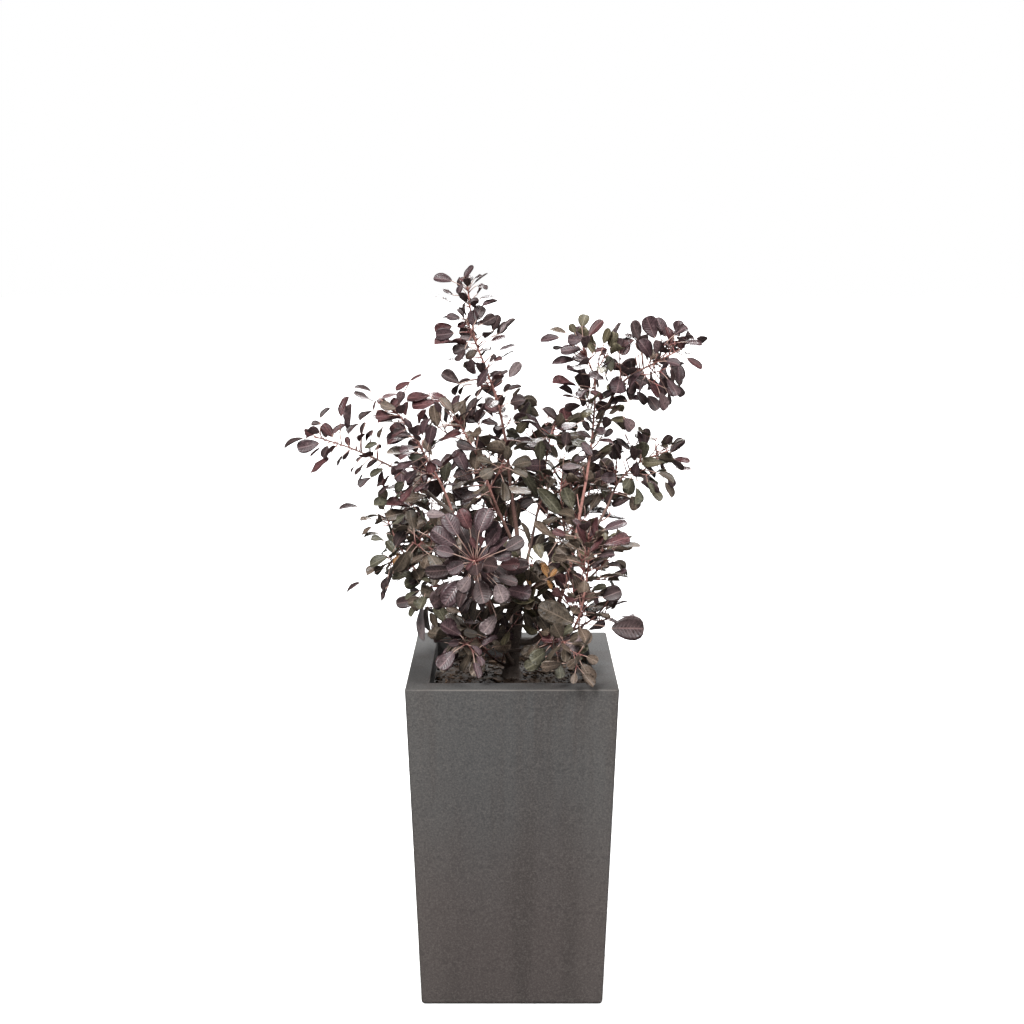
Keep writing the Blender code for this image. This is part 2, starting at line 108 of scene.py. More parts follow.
def pick(obj, kind, wanted):
    """In edit mode, selects just the faces or the edges that pass the test."""
    bpy.ops.mesh.select_mode(type=kind)
    bpy.ops.mesh.select_all(action="DESELECT")
    shape = bmesh.from_edit_mesh(obj.data)
    for part in shape.faces if kind == "FACE" else shape.edges:
        part.select_set(bool(wanted(part)))
    bmesh.update_edit_mesh(obj.data)


def side_at(height):
    return FOOT_SIDE + (RIM_SIDE - FOOT_SIDE) * height / POT_HEIGHT


class Finish:
    """A material's nodes, added and linked one at a time round its Principled shader."""

    def __init__(self, name, roughness=0.5, specular=0.5):
        self.material = bpy.data.materials.new(name)
        self.material.use_nodes = True
        self.tree = self.material.node_tree
        self.shader = self.tree.nodes["Principled BSDF"]
        self.shader.inputs["Roughness"].default_value = roughness
        self.shader.inputs["Specular IOR Level"].default_value = specular

    def add(self, kind, inputs, output=0, **settings):
        """Adds a node, with its settings and inputs, and returns one of its outputs."""
        node = self.tree.nodes.new(kind)
        for name, value in settings.items():
            setattr(node, name, value)
        for name, value in inputs.items():
            self.give(node.inputs[name], value)
        return node.outputs[output]

    def give(self, socket, value):
        if isinstance(value, bpy.types.NodeSocket):
            self.tree.links.new(value, socket)
        elif socket.type == "RGBA":
            socket.default_value = (*value, 1.0)
        else:
            socket.default_value = value

    def split(self, vector):
        """The vector's parts, under the names X, Y and Z."""
        node = self.tree.nodes.new("ShaderNodeSeparateXYZ")
        self.give(node.inputs["Vector"], vector)
        return node.outputs

    def stretched(self, place, stretch):
        return self.add("ShaderNodeMapping", {"Vector": place, "Scale": stretch})

    def place(self, stretch=(1, 1, 1)):
        """The object's own coordinates, in metres, scaled along each axis."""
        return self.stretched(self.add("ShaderNodeTexCoord", {}, "Object"), stretch)

    def noise(self, place, scale, detail=4.0, roughness=0.55):
        return self.add("ShaderNodeTexNoise", {
            "Vector": place, "Scale": scale, "Detail": detail, "Roughness": roughness})

    def maths(self, operation, a, b=0.0, clamp=False):
        return self.add("ShaderNodeMath", {0: a, 1: b}, operation=operation, use_clamp=clamp)

    def ramp(self, value, low, high):
        """0 where the value is at or below low, 1 at or above high, and smooth between."""
        return self.add(
            "ShaderNodeMapRange", {"Value": value, "From Min": low, "From Max": high},
            interpolation_type="SMOOTHSTEP")

    def fall(self, value, low, high):
        """1 where the value is at or below low, 0 at or above high, and smooth between."""
        return self.maths("SUBTRACT", 1.0, self.ramp(value, low, high))

    def mix(self, share, a, b):
        return self.add("ShaderNodeMix", {0: share, 6: a, 7: b}, output=2, data_type="RGBA")

    def over(self, colour, share, strength, other):
        """The colour, with the other laid over it, at full strength where the share is 1."""
        return self.mix(self.maths("MULTIPLY", share, strength), colour, other)

    def coat(self, colour, roughness=None, height=None, depth=0.001, strength=1.0):
        """Feeds the shader, and returns the finished material."""
        self.give(self.shader.inputs["Base Color"], colour)
        if roughness is not None:
            self.give(self.shader.inputs["Roughness"], roughness)
        if height is not None:
            bump = self.add("ShaderNodeBump", {"Height": height, "Distance": depth, "Strength": strength})
            self.give(self.shader.inputs["Normal"], bump)
        return self.material


def fibre_clay():
    finish = Finish("Fibre clay", roughness=0.85)
    even = finish.place()
    height = finish.split(even)["Z"]
    cloud = finish.noise(finish.place((6, 6, 3)), 1.0, detail=3.0)
    browner = finish.maths("ADD", finish.maths("MULTIPLY", height, -1 / POT_HEIGHT), 1.1)
    browner = finish.ramp(finish.maths("ADD", browner, finish.maths("MULTIPLY", cloud, 0.5)), 0.50, 1.20)
    colour = finish.mix(browner, UPPER_GREY, LOWER_BROWN)
    streaks = finish.noise(finish.place((11, 11, 0.9)), 1.0, roughness=0.6)
    colour = finish.over(colour, finish.ramp(streaks, 0.45, 0.64), STREAKS_SHOW, STREAK_BROWN)
    aside = finish.split(finish.add("ShaderNodeVectorMath", {"Vector": even}, operation="ABSOLUTE"))
    corners = finish.ramp(finish.maths("MINIMUM", aside["X"], aside["Y"]), PALER_FROM, PALEST_FROM)
    colour = finish.over(colour, corners, CORNERS_SHOW, PALE_CLAY_AND_HIGHLIGHT)
    coarse = finish.noise(even, 280, roughness=0.7)
    grain = finish.noise(even, 620, detail=2.0)
    speckles = finish.ramp(finish.maths("ADD", coarse, finish.maths("MULTIPLY", grain, 0.7)), 0.80, 1.05)
    colour = finish.over(colour, speckles, SPECKLES_SHOW, PALE_CLAY_AND_HIGHLIGHT)
    pits = finish.fall(coarse, 0.28, 0.48)
    colour = finish.over(colour, pits, PITS_SHOW, PIT_DARK)
    facing = finish.split(finish.add("ShaderNodeTexCoord", {}, "Normal"))["Z"]
    # Painted highlight: the rounded lip is painted paler where it faces upwards, broken into patches by the
    # cloud.
    lip_highlight = finish.maths("MULTIPLY", finish.ramp(facing, 0.10, 0.45), finish.ramp(facing, 1.0, 0.85))
    lip_highlight = finish.maths("MULTIPLY", lip_highlight, finish.ramp(cloud, 0.30, 0.60))
    colour = finish.over(colour, lip_highlight, LIP_HIGHLIGHT_SHOWS, PALE_CLAY_AND_HIGHLIGHT)
    near_foot = finish.ramp(height, CHIP_HEIGHT, 0.0)
    chips = finish.maths("MULTIPLY", finish.ramp(finish.noise(even, 75), 0.56, 0.60), near_foot)
    colour = finish.mix(chips, colour, PIT_DARK)
    relief = finish.maths("ADD", finish.maths("MULTIPLY", pits, -0.9), grain)
    dull = finish.add("ShaderNodeMapRange", {"Value": grain, "To Min": 0.74, "To Max": 0.95})
    return finish.coat(colour, dull, relief, depth=0.0006, strength=0.6)


bpy.ops.mesh.primitive_cube_add(
    size=1, location=(0, 0, POT_HEIGHT / 2), scale=(FOOT_SIDE, FOOT_SIDE, POT_HEIGHT))
planter = bpy.context.object
planter.name = "planter"
bpy.ops.object.transform_apply(location=True, rotation=True, scale=True)
bpy.ops.object.mode_set(mode="EDIT")
pick(planter, "FACE", lambda face: face.normal.z > 0.9)
bpy.ops.transform.resize(value=(RIM_SIDE / FOOT_SIDE, RIM_SIDE / FOOT_SIDE, 1))
bpy.ops.mesh.inset(thickness=RIM_WIDTH)
bpy.ops.mesh.extrude_region_move(
    TRANSFORM_OT_translate={"value": (0, 0, FLOOR_THICKNESS - POT_HEIGHT)})
well_taper = (side_at(FLOOR_THICKNESS) - 2 * RIM_WIDTH) / (RIM_SIDE - 2 * RIM_WIDTH)
bpy.ops.transform.resize(value=(well_taper, well_taper, 1))
pick(planter, "EDGE", lambda edge: abs(edge.verts[0].co.z - edge.verts[1].co.z) > POT_HEIGHT / 2)
bpy.ops.mesh.bevel(offset=CORNER_RADIUS, segments=CORNER_STEPS, affect="EDGES")
for height, radius in ((POT_HEIGHT, LIP_RADIUS), (0, FOOT_RADIUS)):
    pick(planter, "EDGE", lambda edge: edge.calc_face_angle() > 1 and all(
        abs(vertex.co.z - height) < 1e-4 for vertex in edge.verts))
    bpy.ops.mesh.bevel(offset=radius, segments=EDGE_STEPS, affect="EDGES")
bpy.ops.object.mode_set(mode="OBJECT")
bpy.ops.object.shade_smooth_by_angle(angle=math.radians(35))
planter.data.materials.append(fibre_clay())
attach(planter, "root")
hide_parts("pot")


# Soil
# Dark, damp potting soil that fills the planter to 40 mm below its rim: a crumbly bed, a little higher
# round the trunk, with loose crumbs and shreds of composted bark lying on it.
soil_low, soil_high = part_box("soil")
SOIL_TOP = soil_high.z
SOIL_RELIEF = 0.007
SOIL_CELLS = 110
CLUMP_SIZE = 0.030
GRAIN_SIZE = 0.007
MOUND_HEIGHT = 0.006
MOUND_RADIUS = 0.06
CRUMB_COUNT = 900
CRUMB_SIZES = (0.002, 0.007)
CRUMB_SEED = 3
SHRED_COUNT = 170
SHRED_SIZES = (0.006, 0.016)
SHRED_SHAPE = (1.0, 0.32, 0.16)
SHRED_SEED = 4
SOIL_DARK = (0.012, 0.008, 0.006)
SOIL_BROWN = (0.045, 0.029, 0.020)
SHRED_BROWN = (0.085, 0.050, 0.030)

# How wide and high the lumps of a crumb and a shred are, for its size.
CRUMB_LUMPS = (0.45, 0.5)
SHRED_LUMPS = (0.3, 0.16)

# How the loose pieces lie: how near the wall, how far their middles are above the soil for their size,
# how far they are turned and tilted, in radians, how many are of ordinary size and how much larger the
# rest are, and how their widths and heights vary.
WALL_CLEARANCE = 0.004
RAISED = 0.1
FULL_TURN = 6.28
TILT = 0.5
ORDINARY_SHARE = 0.85
LARGER = 1.6
WIDTHS = (0.6, 1.0)
HEIGHTS = (0.5, 0.9)


def displace(obj, size, strength, **settings):
    """Raises the object's surface by a cloudy texture, and applies it."""
    texture = bpy.data.textures.new(obj.name, "CLOUDS")
    texture.noise_scale = size
    modifier = obj.modifiers.new("Relief", "DISPLACE")
    modifier.texture = texture
    modifier.texture_coords = "LOCAL"
    modifier.strength = strength
    for name, value in settings.items():
        setattr(modifier, name, value)
    bpy.context.view_layer.objects.active = obj
    bpy.ops.object.modifier_apply(modifier=modifier.name)


def potting_soil():
    finish = Finish("Potting soil", roughness=0.95, specular=0.15)
    even = finish.place()
    patches = finish.ramp(finish.noise(even, 60), 0.35, 0.70)
    colour = finish.mix(patches, SOIL_DARK, SOIL_BROWN)
    fibres = finish.ramp(finish.noise(even, 420, detail=3.0), 0.60, 0.72)
    colour = finish.over(colour, fibres, 0.6, SHRED_BROWN)
    damp = finish.add("ShaderNodeMapRange", {"Value": patches, "To Min": 0.70, "To Max": 1.0})
    return finish.coat(colour, damp, finish.noise(even, 300, detail=6.0), depth=0.002, strength=0.8)


def shredded_bark():
    finish = Finish("Composted bark", roughness=0.9, specular=0.15)
    grain = finish.noise(finish.place((60, 60, 400)), 1.0)
    colour = finish.mix(finish.ramp(grain, 0.3, 0.7), SOIL_BROWN, SHRED_BROWN)
    return finish.coat(colour, height=grain)


def shape_of(obj):
    """The object's points and the corners of its faces."""
    return (
        [vertex.co.copy() for vertex in obj.data.vertices],
        [tuple(face.vertices) for face in obj.data.polygons])


def joined(name, points, faces, materials):
    """A smooth object at the origin, from arrays of points and the corners of all its faces."""
    mesh = bpy.data.meshes.new(name)
    mesh.from_pydata(np.concatenate(points).tolist(), [], faces)
    for material in materials:
        mesh.materials.append(material)
    mesh.shade_smooth()
    obj = bpy.data.objects.new(name, mesh)
    bpy.context.scene.collection.objects.link(obj)
    return obj


def scatter(name, template, count, sizes, draw, material):
    """Many turned, scaled copies of a small shape lying on the soil, as one mesh."""
    shape, shape_faces = shape_of(template)
    bpy.data.objects.remove(template)
    shape = np.array(shape)
    points, faces = [], []
    half = side_at(SOIL_TOP) / 2 - RIM_WIDTH - WALL_CLEARANCE
    for index in range(count):
        turn = Matrix.Rotation(draw.uniform(0, FULL_TURN), 3, "Z")
        turn = np.array(turn @ Matrix.Rotation(draw.uniform(-TILT, TILT), 3, "X"))
        size = draw.uniform(*sizes) * (1.0 if draw.random() < ORDINARY_SHARE else LARGER)
        x, y = draw.uniform(-half, half), draw.uniform(-half, half)
        found, at, _, _ = soil.ray_cast(Vector((x, y, 1)), Vector((0, 0, -1)))
        at = np.array(at if found else (x, y, SOIL_TOP))
        stretch = np.array([size, size * draw.uniform(*WIDTHS), size * draw.uniform(*HEIGHTS)])
        points.append((shape * stretch) @ turn.T + at + (0, 0, RAISED * size))
        faces += [tuple(corner + index * len(shape) for corner in face) for face in shape_faces]
    obj = joined(name, points, faces, [material])
    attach(obj, "root")


soil_side = side_at(SOIL_TOP) - 2 * RIM_WIDTH
bpy.ops.mesh.primitive_grid_add(
    x_subdivisions=SOIL_CELLS, y_subdivisions=SOIL_CELLS, size=soil_side, location=(0, 0, SOIL_TOP))
soil = bpy.context.object
soil.name = "soil_bed"
bpy.ops.object.transform_apply(location=True, rotation=True, scale=True)
for vertex in soil.data.vertices:
    vertex.co.z += MOUND_HEIGHT * math.exp(-(vertex.co.xy.length / MOUND_RADIUS) ** 2)
displace(soil, CLUMP_SIZE, SOIL_RELIEF, direction="Z")
displace(soil, GRAIN_SIZE, SOIL_RELIEF / 2, direction="Z")
bpy.ops.object.mode_set(mode="EDIT")
pick(soil, "EDGE", lambda edge: edge.is_boundary)
bpy.ops.mesh.extrude_region_move(TRANSFORM_OT_translate={"value": (0, 0, soil_low.z - SOIL_TOP)})
bed_taper = (side_at(soil_low.z) - 2 * RIM_WIDTH) / soil_side
bpy.ops.transform.resize(value=(bed_taper, bed_taper, 0))
bpy.ops.mesh.edge_face_add()
bpy.ops.mesh.select_all(action="SELECT")
bpy.ops.mesh.normals_make_consistent(inside=False)
bpy.ops.object.mode_set(mode="OBJECT")
bpy.ops.object.shade_smooth_by_angle(angle=math.radians(50))
soil.data.materials.append(potting_soil())
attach(soil, "root")
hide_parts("soil")

bpy.ops.mesh.primitive_ico_sphere_add(subdivisions=2, radius=0.5)
crumb = bpy.context.object
displace(crumb, *CRUMB_LUMPS)
scatter(
    "soil_crumbs", crumb, CRUMB_COUNT, CRUMB_SIZES, random.Random(CRUMB_SEED), soil.data.materials[0])

bpy.ops.mesh.primitive_cube_add(size=1, scale=SHRED_SHAPE)
shred = bpy.context.object
bpy.ops.object.transform_apply(location=True, rotation=True, scale=True)
bpy.ops.object.mode_set(mode="EDIT")
bpy.ops.mesh.subdivide(number_cuts=2)
bpy.ops.object.mode_set(mode="OBJECT")
displace(shred, *SHRED_LUMPS)
scatter("bark_shreds", shred, SHRED_COUNT, SHRED_SIZES, random.Random(SHRED_SEED), shredded_bark())


# Trunk and boughs
# A short woody trunk that flares into the soil and forks low down into long shoots, each one tapering
# limb from its fork to its tip. The old wood is grey-brown and ridged, and the young wood is smooth and
# salmon pink, with pale pores and a slight swelling at each leaf scar.
GAP = 0.0003
TRUNK_PATH = (
    (0.000, 0.000, SOIL_TOP + GAP), (0.001, -0.001, 0.645), (0.006, 0.000, 0.690), (0.012, 0.001, 0.740))
TRUNK_RADIUS = 0.0135
FLARE_RADIUS = 0.024
FLARE_HEIGHT = 0.035
FORK_RADIUS = 0.0105
LIMB_TIP_RADIUS = 0.0014
RING_SPACING = 0.004
TRUNK_SIDES = 22
STOUT_SIDES = 14
STOUT_RADIUS = 0.006
SLIM_SIDES = 10
SCAR_SPACING = 0.021
BARK_SEED = 41
OLD_BARK = (0.100, 0.078, 0.064)
RED_BARK = (0.140, 0.068, 0.054)
PINK_BARK = (0.400, 0.190, 0.160)
PORE = (0.380, 0.290, 0.240)
STAIN = (0.050, 0.032, 0.026)

# How deep the trunk stands in the soil, and the tallest shoot in the trunk's end.
ROOTED = 0.012

# Wood begins to look old at the first radius, and is old when it is thicker by the second.
OLD_FROM = 0.003
OLD_AFTER = 0.007

# How the bark's forms raise it, each as a share of the limb's radius: the ridges and grain of old wood,
# knots on all of it, and the leaf scars, which are this wide.
RIDGES = 0.055
GRAIN = 0.035
KNOTS = 0.03
SCARS = 0.13
SCAR_WIDTH = 0.0022

# Every shoot: the limb it leaves and how far along, the radius at its foot, the share of its length that
# bears no leaves, how soon its bark turns pink, where that isn't the usual, and the points its curve runs
# through.
USUAL_PINK = 0.9
LIMBS = {
    "tall": dict(
        parent="trunk", leaves_at=1.0, foot=0.0072, bare=0.44, pink=0.75,
        path=((0.013, 0.005, 0.800), (0.012, 0.010, 0.880), (-0.002, 0.020, 0.990),
              (-0.012, 0.030, 1.080), (-0.030, 0.035, 1.165), (-0.055, 0.040, 1.235),
              (-0.074, 0.046, 1.290), (-0.086, 0.052, 1.385))),
    "right": dict(
        parent="trunk", leaves_at=0.62, foot=0.0066, bare=0.74, pink=0.30,
        path=((0.045, -0.003, 0.690), (0.078, -0.006, 0.735), (0.112, -0.015, 0.835),
              (0.131, -0.025, 0.947), (0.146, -0.032, 1.040), (0.155, -0.038, 1.130),
              (0.156, -0.042, 1.210), (0.134, -0.050, 1.268))),
    "left": dict(
        parent="trunk", leaves_at=0.80, foot=0.0064, bare=0.60, pink=0.40,
        path=((-0.025, -0.008, 0.735), (-0.060, -0.022, 0.810), (-0.098, -0.038, 0.910),
              (-0.132, -0.052, 1.005), (-0.163, -0.062, 1.065), (-0.188, -0.070, 1.115),
              (-0.222, -0.080, 1.160))),
    "front": dict(
        parent="trunk", leaves_at=0.30, foot=0.0062, bare=0.56, pink=0.75,
        path=((-0.008, -0.035, 0.665), (-0.024, -0.075, 0.715), (-0.045, -0.130, 0.800),
              (-0.060, -0.185, 0.872), (-0.068, -0.240, 0.905))),
    "back": dict(
        parent="trunk", leaves_at=0.45, foot=0.0064, bare=0.58, pink=0.8,
        path=((0.000, 0.045, 0.685), (-0.005, 0.095, 0.755), (-0.012, 0.160, 0.850),
              (-0.015, 0.225, 0.940), (-0.020, 0.290, 1.000))),
    "right_arm": dict(
        parent="right", leaves_at=0.715, foot=0.0038, bare=0.36, pink=1.0,
        path=((0.182, -0.024, 1.160), (0.218, -0.008, 1.208), (0.275, 0.010, 1.238),
              (0.330, 0.035, 1.264))),
    "right_low": dict(
        parent="right", leaves_at=0.42, foot=0.0042, bare=0.42, pink=1.0,
        path=((0.155, -0.012, 0.910), (0.185, 0.005, 0.955), (0.210, 0.030, 1.003),
              (0.253, 0.052, 1.038), (0.312, 0.066, 1.060))),
    "left_arm": dict(
        parent="left", leaves_at=0.545, foot=0.0040, bare=0.30, pink=1.6,
        path=((-0.152, -0.040, 0.985), (-0.188, -0.024, 1.014), (-0.240, 0.004, 1.040),
              (-0.317, 0.030, 1.070), (-0.390, 0.050, 1.090))),
    "left_low": dict(
        parent="left", leaves_at=0.13, foot=0.0046, bare=0.40,
        path=((-0.068, -0.006, 0.772), (-0.120, 0.000, 0.788), (-0.176, 0.016, 0.812),
              (-0.222, 0.036, 0.870), (-0.254, 0.056, 0.935))),
    "centre_left": dict(
        parent="tall", leaves_at=0.20, foot=0.0042, bare=0.42, pink=0.5,
        path=((-0.006, -0.004, 0.905), (-0.035, -0.016, 0.975), (-0.062, -0.018, 1.050),
              (-0.104, -0.022, 1.130))),
    "centre_back": dict(
        parent="tall", leaves_at=0.10, foot=0.0044, bare=0.46,
        path=((0.032, 0.040, 0.850), (0.048, 0.070, 0.920), (0.064, 0.090, 1.000),
              (0.074, 0.100, 1.070), (0.092, 0.112, 1.125))),
    "front_right": dict(
        parent="front", leaves_at=0.20, foot=0.0044, bare=0.38, pink=0.6,
        path=((0.020, -0.075, 0.690), (0.072, -0.104, 0.712), (0.118, -0.122, 0.748),
              (0.140, -0.132, 0.840), (0.143, -0.142, 0.935))),
    "front_low": dict(
        parent="trunk", leaves_at=0.22, foot=0.0038, bare=0.36,
        path=((-0.030, -0.028, 0.655), (-0.052, -0.062, 0.685), (-0.066, -0.100, 0.720),
              (-0.085, -0.140, 0.745))),
    "right_foot": dict(
        parent="right", leaves_at=0.10, foot=0.0040, bare=0.36,
        path=((0.080, -0.030, 0.705), (0.115, -0.055, 0.722), (0.160, -0.060, 0.752),
              (0.196, -0.070, 0.800))),
    "front_foot": dict(
        parent="front_right", leaves_at=0.35, foot=0.0034, bare=0.30,
        path=((0.062, -0.122, 0.716), (0.088, -0.158, 0.730), (0.098, -0.196, 0.740))),
    "inner_left": dict(
        parent="left", leaves_at=0.26, foot=0.0040, bare=0.26,
        path=((-0.104, -0.026, 0.842), (-0.142, -0.014, 0.872), (-0.170, 0.000, 0.925))),
    "inner_right": dict(
        parent="right", leaves_at=0.26, foot=0.0040, bare=0.28,
        path=((0.135, -0.030, 0.810), (0.168, -0.046, 0.845), (0.196, -0.056, 0.885))),
    "centre_front": dict(
        parent="trunk", leaves_at=0.90, foot=0.0040, bare=0.34,
        path=((0.024, -0.045, 0.750), (0.028, -0.092, 0.780), (0.030, -0.132, 0.830))),
    "centre_right": dict(
        parent="right", leaves_at=0.33, foot=0.0040, bare=0.26,
        path=((0.106, 0.010, 0.895), (0.098, 0.024, 0.945), (0.096, 0.030, 1.000))),
    "back_left": dict(
        parent="back", leaves_at=0.30, foot=0.0044, bare=0.38,
        path=((-0.050, 0.125, 0.775), (-0.105, 0.165, 0.830), (-0.160, 0.200, 0.890),
              (-0.200, 0.230, 0.965))),
    "back_right": dict(
        parent="back", leaves_at=0.22, foot=0.0044, bare=0.38,
        path=((0.045, 0.115, 0.765), (0.100, 0.150, 0.830), (0.145, 0.185, 0.905),
              (0.172, 0.215, 0.990))),
}


def catmull_rom(a, b, c, d, t):
    return 0.5 * (2 * b + (c - a) * t + (2 * a - 5 * b + 4 * c - d) * t**2 + (3 * b - a - 3 * c + d) * t**3)


def smooth_path(points, steps=8):
    """A smooth line through the points, with some steps in each span."""
    points = [Vector(point) for point in points]
    ends = [2 * points[0] - points[1], *points, 2 * points[-1] - points[-2]]
    line = []
    for a, b, c, d in zip(ends, ends[1:], ends[2:], ends[3:]):
        line += [catmull_rom(a, b, c, d, step / steps) for step in range(steps)]
    return [*line, points[-1]]


def lengths_along(line):
    """How far along the line each of its points lies, in metres."""
    total = [0.0]
    for a, b in zip(line, line[1:]):
        total.append(total[-1] + (b - a).length)
    return total


def place_on(line, share):
    """The point that far along the line, and the line's direction there."""
    marks = lengths_along(line)
    wanted = share * marks[-1]
    for index in range(len(line) - 1):
        if wanted <= marks[index + 1] or index == len(line) - 2:
            part = (wanted - marks[index]) / (marks[index + 1] - marks[index])
            return line[index].lerp(line[index + 1], part), (line[index + 1] - line[index]).normalized()


def evenly_spaced(line, spacing):
    """Points set evenly along the line, and how far along each is, in metres."""
    marks = lengths_along(line)
    wanted = np.linspace(0, marks[-1], max(2, round(marks[-1] / spacing)) + 1)
    points = np.array(line)
    return np.stack([np.interp(wanted, marks, points[:, axis]) for axis in range(3)], axis=1), wanted


def any_across(direction):
    across = direction.cross(Vector((0, 0, 1)))
    if across.length < 0.2:
        across = direction.cross(Vector((0, 1, 0)))
    return across.normalized()


class Tubes:
    """Gathers tapering tubes into one mesh. Every point keeps the age of its bark, from 0, old, to 1."""

    def __init__(self):
        self.points, self.faces, self.ages, self.count = [], [], [], 0

    def add(self, points, radii, sides, ages=1.0):
        """Sweeps rings along the points. radii has a column for each side, or one for all."""
        along = np.gradient(points, axis=0)
        along /= np.linalg.norm(along, axis=1)[:, None]
        across = [np.array(any_across(Vector(along[0])))]
        for direction in along[1:]:
            side = across[-1] - direction * across[-1].dot(direction)
            across.append(side / np.linalg.norm(side))
        across = np.array(across)
        other = np.cross(along, across)
        angles = np.linspace(0, 2 * math.pi, sides, endpoint=False)[None, :, None]
        outward = np.cos(angles) * across[:, None] + np.sin(angles) * other[:, None]
        rings = points[:, None] + outward * np.broadcast_to(radii, (len(points), sides))[..., None]
        self.points.append(rings.reshape(-1, 3))
        self.ages.append(np.repeat(np.broadcast_to(ages, len(points)), sides))
        first = self.count
        for ring in range(len(points) - 1):
            low = first + ring * sides
            for side in range(sides):
                after = (side + 1) % sides
                self.faces.append((low + side, low + after, low + sides + after, low + sides + side))
        self.faces.append(tuple(first + side for side in reversed(range(sides))))
        self.count += len(points) * sides
        self.faces.append(tuple(range(self.count - sides, self.count)))

    def to_object(self, name, material):
        obj = joined(name, self.points, self.faces, [material])
        age = obj.data.attributes.new("age", "FLOAT", "POINT")
        age.data.foreach_set("value", np.concatenate(self.ages).astype(np.float32))
        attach(obj, "root")
        return obj


def radius_at(limb, share):
    """A limb's radius that far along it: it thins quickly above its foot, and then slowly."""
    left = 1 - share
    return LIMB_TIP_RADIUS + (limb["foot"] - LIMB_TIP_RADIUS) * (0.5 * left + 0.5 * left**4)


def bark_relief(points, lengths, radii, sides, draw):
    """The limb's radius at each side of each ring: ridges on old wood, and scars that swell all of it."""
    angles = np.linspace(0, 2 * math.pi, sides, endpoint=False)[None, :]
    lengths, radii = lengths[:, None], radii[:, None]
    woody = np.clip((radii - OLD_FROM) / OLD_AFTER, 0, 1)
    drift = draw.uniform(0, 6) + 9 * lengths
    ridges = np.sin(5 * angles + drift) + 0.6 * np.sin(9 * angles - 1.7 * drift)
    knots = np.sin(61 * lengths + 2 * angles) * np.sin(37 * lengths - angles)
    from_scar = (lengths + 0.004 * np.sin(90 * lengths)) % SCAR_SPACING - SCAR_SPACING / 2
    scars = np.exp(-(from_scar / SCAR_WIDTH) ** 2)
    grain = np.array([[draw.uniform(-1, 1) for _ in range(sides)] for _ in range(len(points))])
    relief = RIDGES * woody * ridges + (KNOTS + 0.05 * woody) * knots + SCARS * (1 - 0.6 * woody) * scars
    return radii * (1 + relief + GRAIN * woody * grain)


def bark():
    finish = Finish("Bark", roughness=0.6)
    even = finish.place()
    age = finish.add("ShaderNodeAttribute", {}, "Fac", attribute_name="age")
    mottle = finish.noise(even, 70, detail=5.0)
    age = finish.maths("ADD", age, finish.maths("MULTIPLY", mottle, 0.30))
    colour = finish.mix(finish.ramp(age, 0.20, 0.60), OLD_BARK, RED_BARK)
    colour = finish.mix(finish.ramp(age, 0.65, 1.10), colour, PINK_BARK)
    stains = finish.ramp(finish.noise(even, 260, detail=5.0), 0.46, 0.62)
    colour = finish.over(colour, stains, 0.35, STAIN)
    cells = finish.add("ShaderNodeTexVoronoi", {"Vector": even, "Scale": 210.0}, "Distance")
    pores = finish.fall(cells, 0.10, 0.17)
    colour = finish.over(colour, pores, 0.65, PORE)
    relief = finish.maths("ADD", finish.noise(even, 480), pores)
    rough = finish.add("ShaderNodeMapRange", {"Value": age, "From Max": 1.3, "To Min": 0.85, "To Max": 0.42})
    return finish.coat(colour, rough, relief, depth=0.0005, strength=0.6)


draw = random.Random(BARK_SEED)
limbs = Tubes()
lines = {"trunk": smooth_path(TRUNK_PATH)}
lines["trunk"].insert(0, lines["trunk"][0] - Vector((0, 0, ROOTED)))
points, lengths = evenly_spaced(lines["trunk"], RING_SPACING / 2)
flare = np.clip(1 - (points[:, 2] - SOIL_TOP) / FLARE_HEIGHT, 0, 1.2) ** 2
radii = TRUNK_RADIUS + (FORK_RADIUS - TRUNK_RADIUS) * lengths / lengths[-1]
radii += (FLARE_RADIUS - TRUNK_RADIUS) * flare
limbs.add(points, bark_relief(points, lengths, radii, TRUNK_SIDES, draw), TRUNK_SIDES, 0.0)

for name, limb in LIMBS.items():
    start, direction = place_on(lines[limb["parent"]], limb["leaves_at"])
    if limb["leaves_at"] == 1.0:
        start = start - direction * ROOTED
    line = smooth_path([start, *limb["path"]])
    lines[name] = line
    points, lengths = evenly_spaced(line, RING_SPACING)
    share = lengths / lengths[-1]
    collar = 0.45 * limb["foot"] * np.exp(-lengths / (2.2 * limb["foot"]))
    radii = radius_at(limb, share) + collar
    sides = STOUT_SIDES if limb["foot"] > STOUT_RADIUS else SLIM_SIDES
    ages = np.clip(share / limb.get("pink", USUAL_PINK), 0, 1)
    limbs.add(points, bark_relief(points, lengths, radii, sides, draw), sides, ages)
wood = bark()
bark_piece = limbs.to_object("trunk_and_boughs", wood)
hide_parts("trunk", *["bough_" + name for name in LIMBS])


# Twigs, leaf stalks and leaves
# Leaves stand in a spiral round each shoot and twig, on long thin pink stalks, crowded into a rosette at
# the tip. A blade is spoon-shaped to round, thin and satiny, dark purple with pale pink veins, redder
# while it is young and browner or greener with age, and paler beneath.
STALK_RADIUS = 0.0008
BLADE_LENGTH = 0.062
BLADE_WIDTH = 0.68
BLADE_THICKNESS = 0.006
GOLDEN_ANGLE = math.radians(137.5)
TWIG_TIP_RADIUS = 0.0010
TWIG_SIDES = 7
TWIG_RING_SPACING = 0.006
TWIG_AGE = 0.75
SPUR_RADIUS = 0.0018
SPUR_LEAVES = 5
SMALL_TWIGS = 2
SMALL_TWIG_LEAVES = 3
SEED = 41
LEAF_SEGMENTS = 8
LEAF_RINGS = 9
RIM_CLEARANCE = 0.010
STALK_RED = (0.200, 0.060, 0.058)
STALK_PALE = (0.420, 0.280, 0.230)

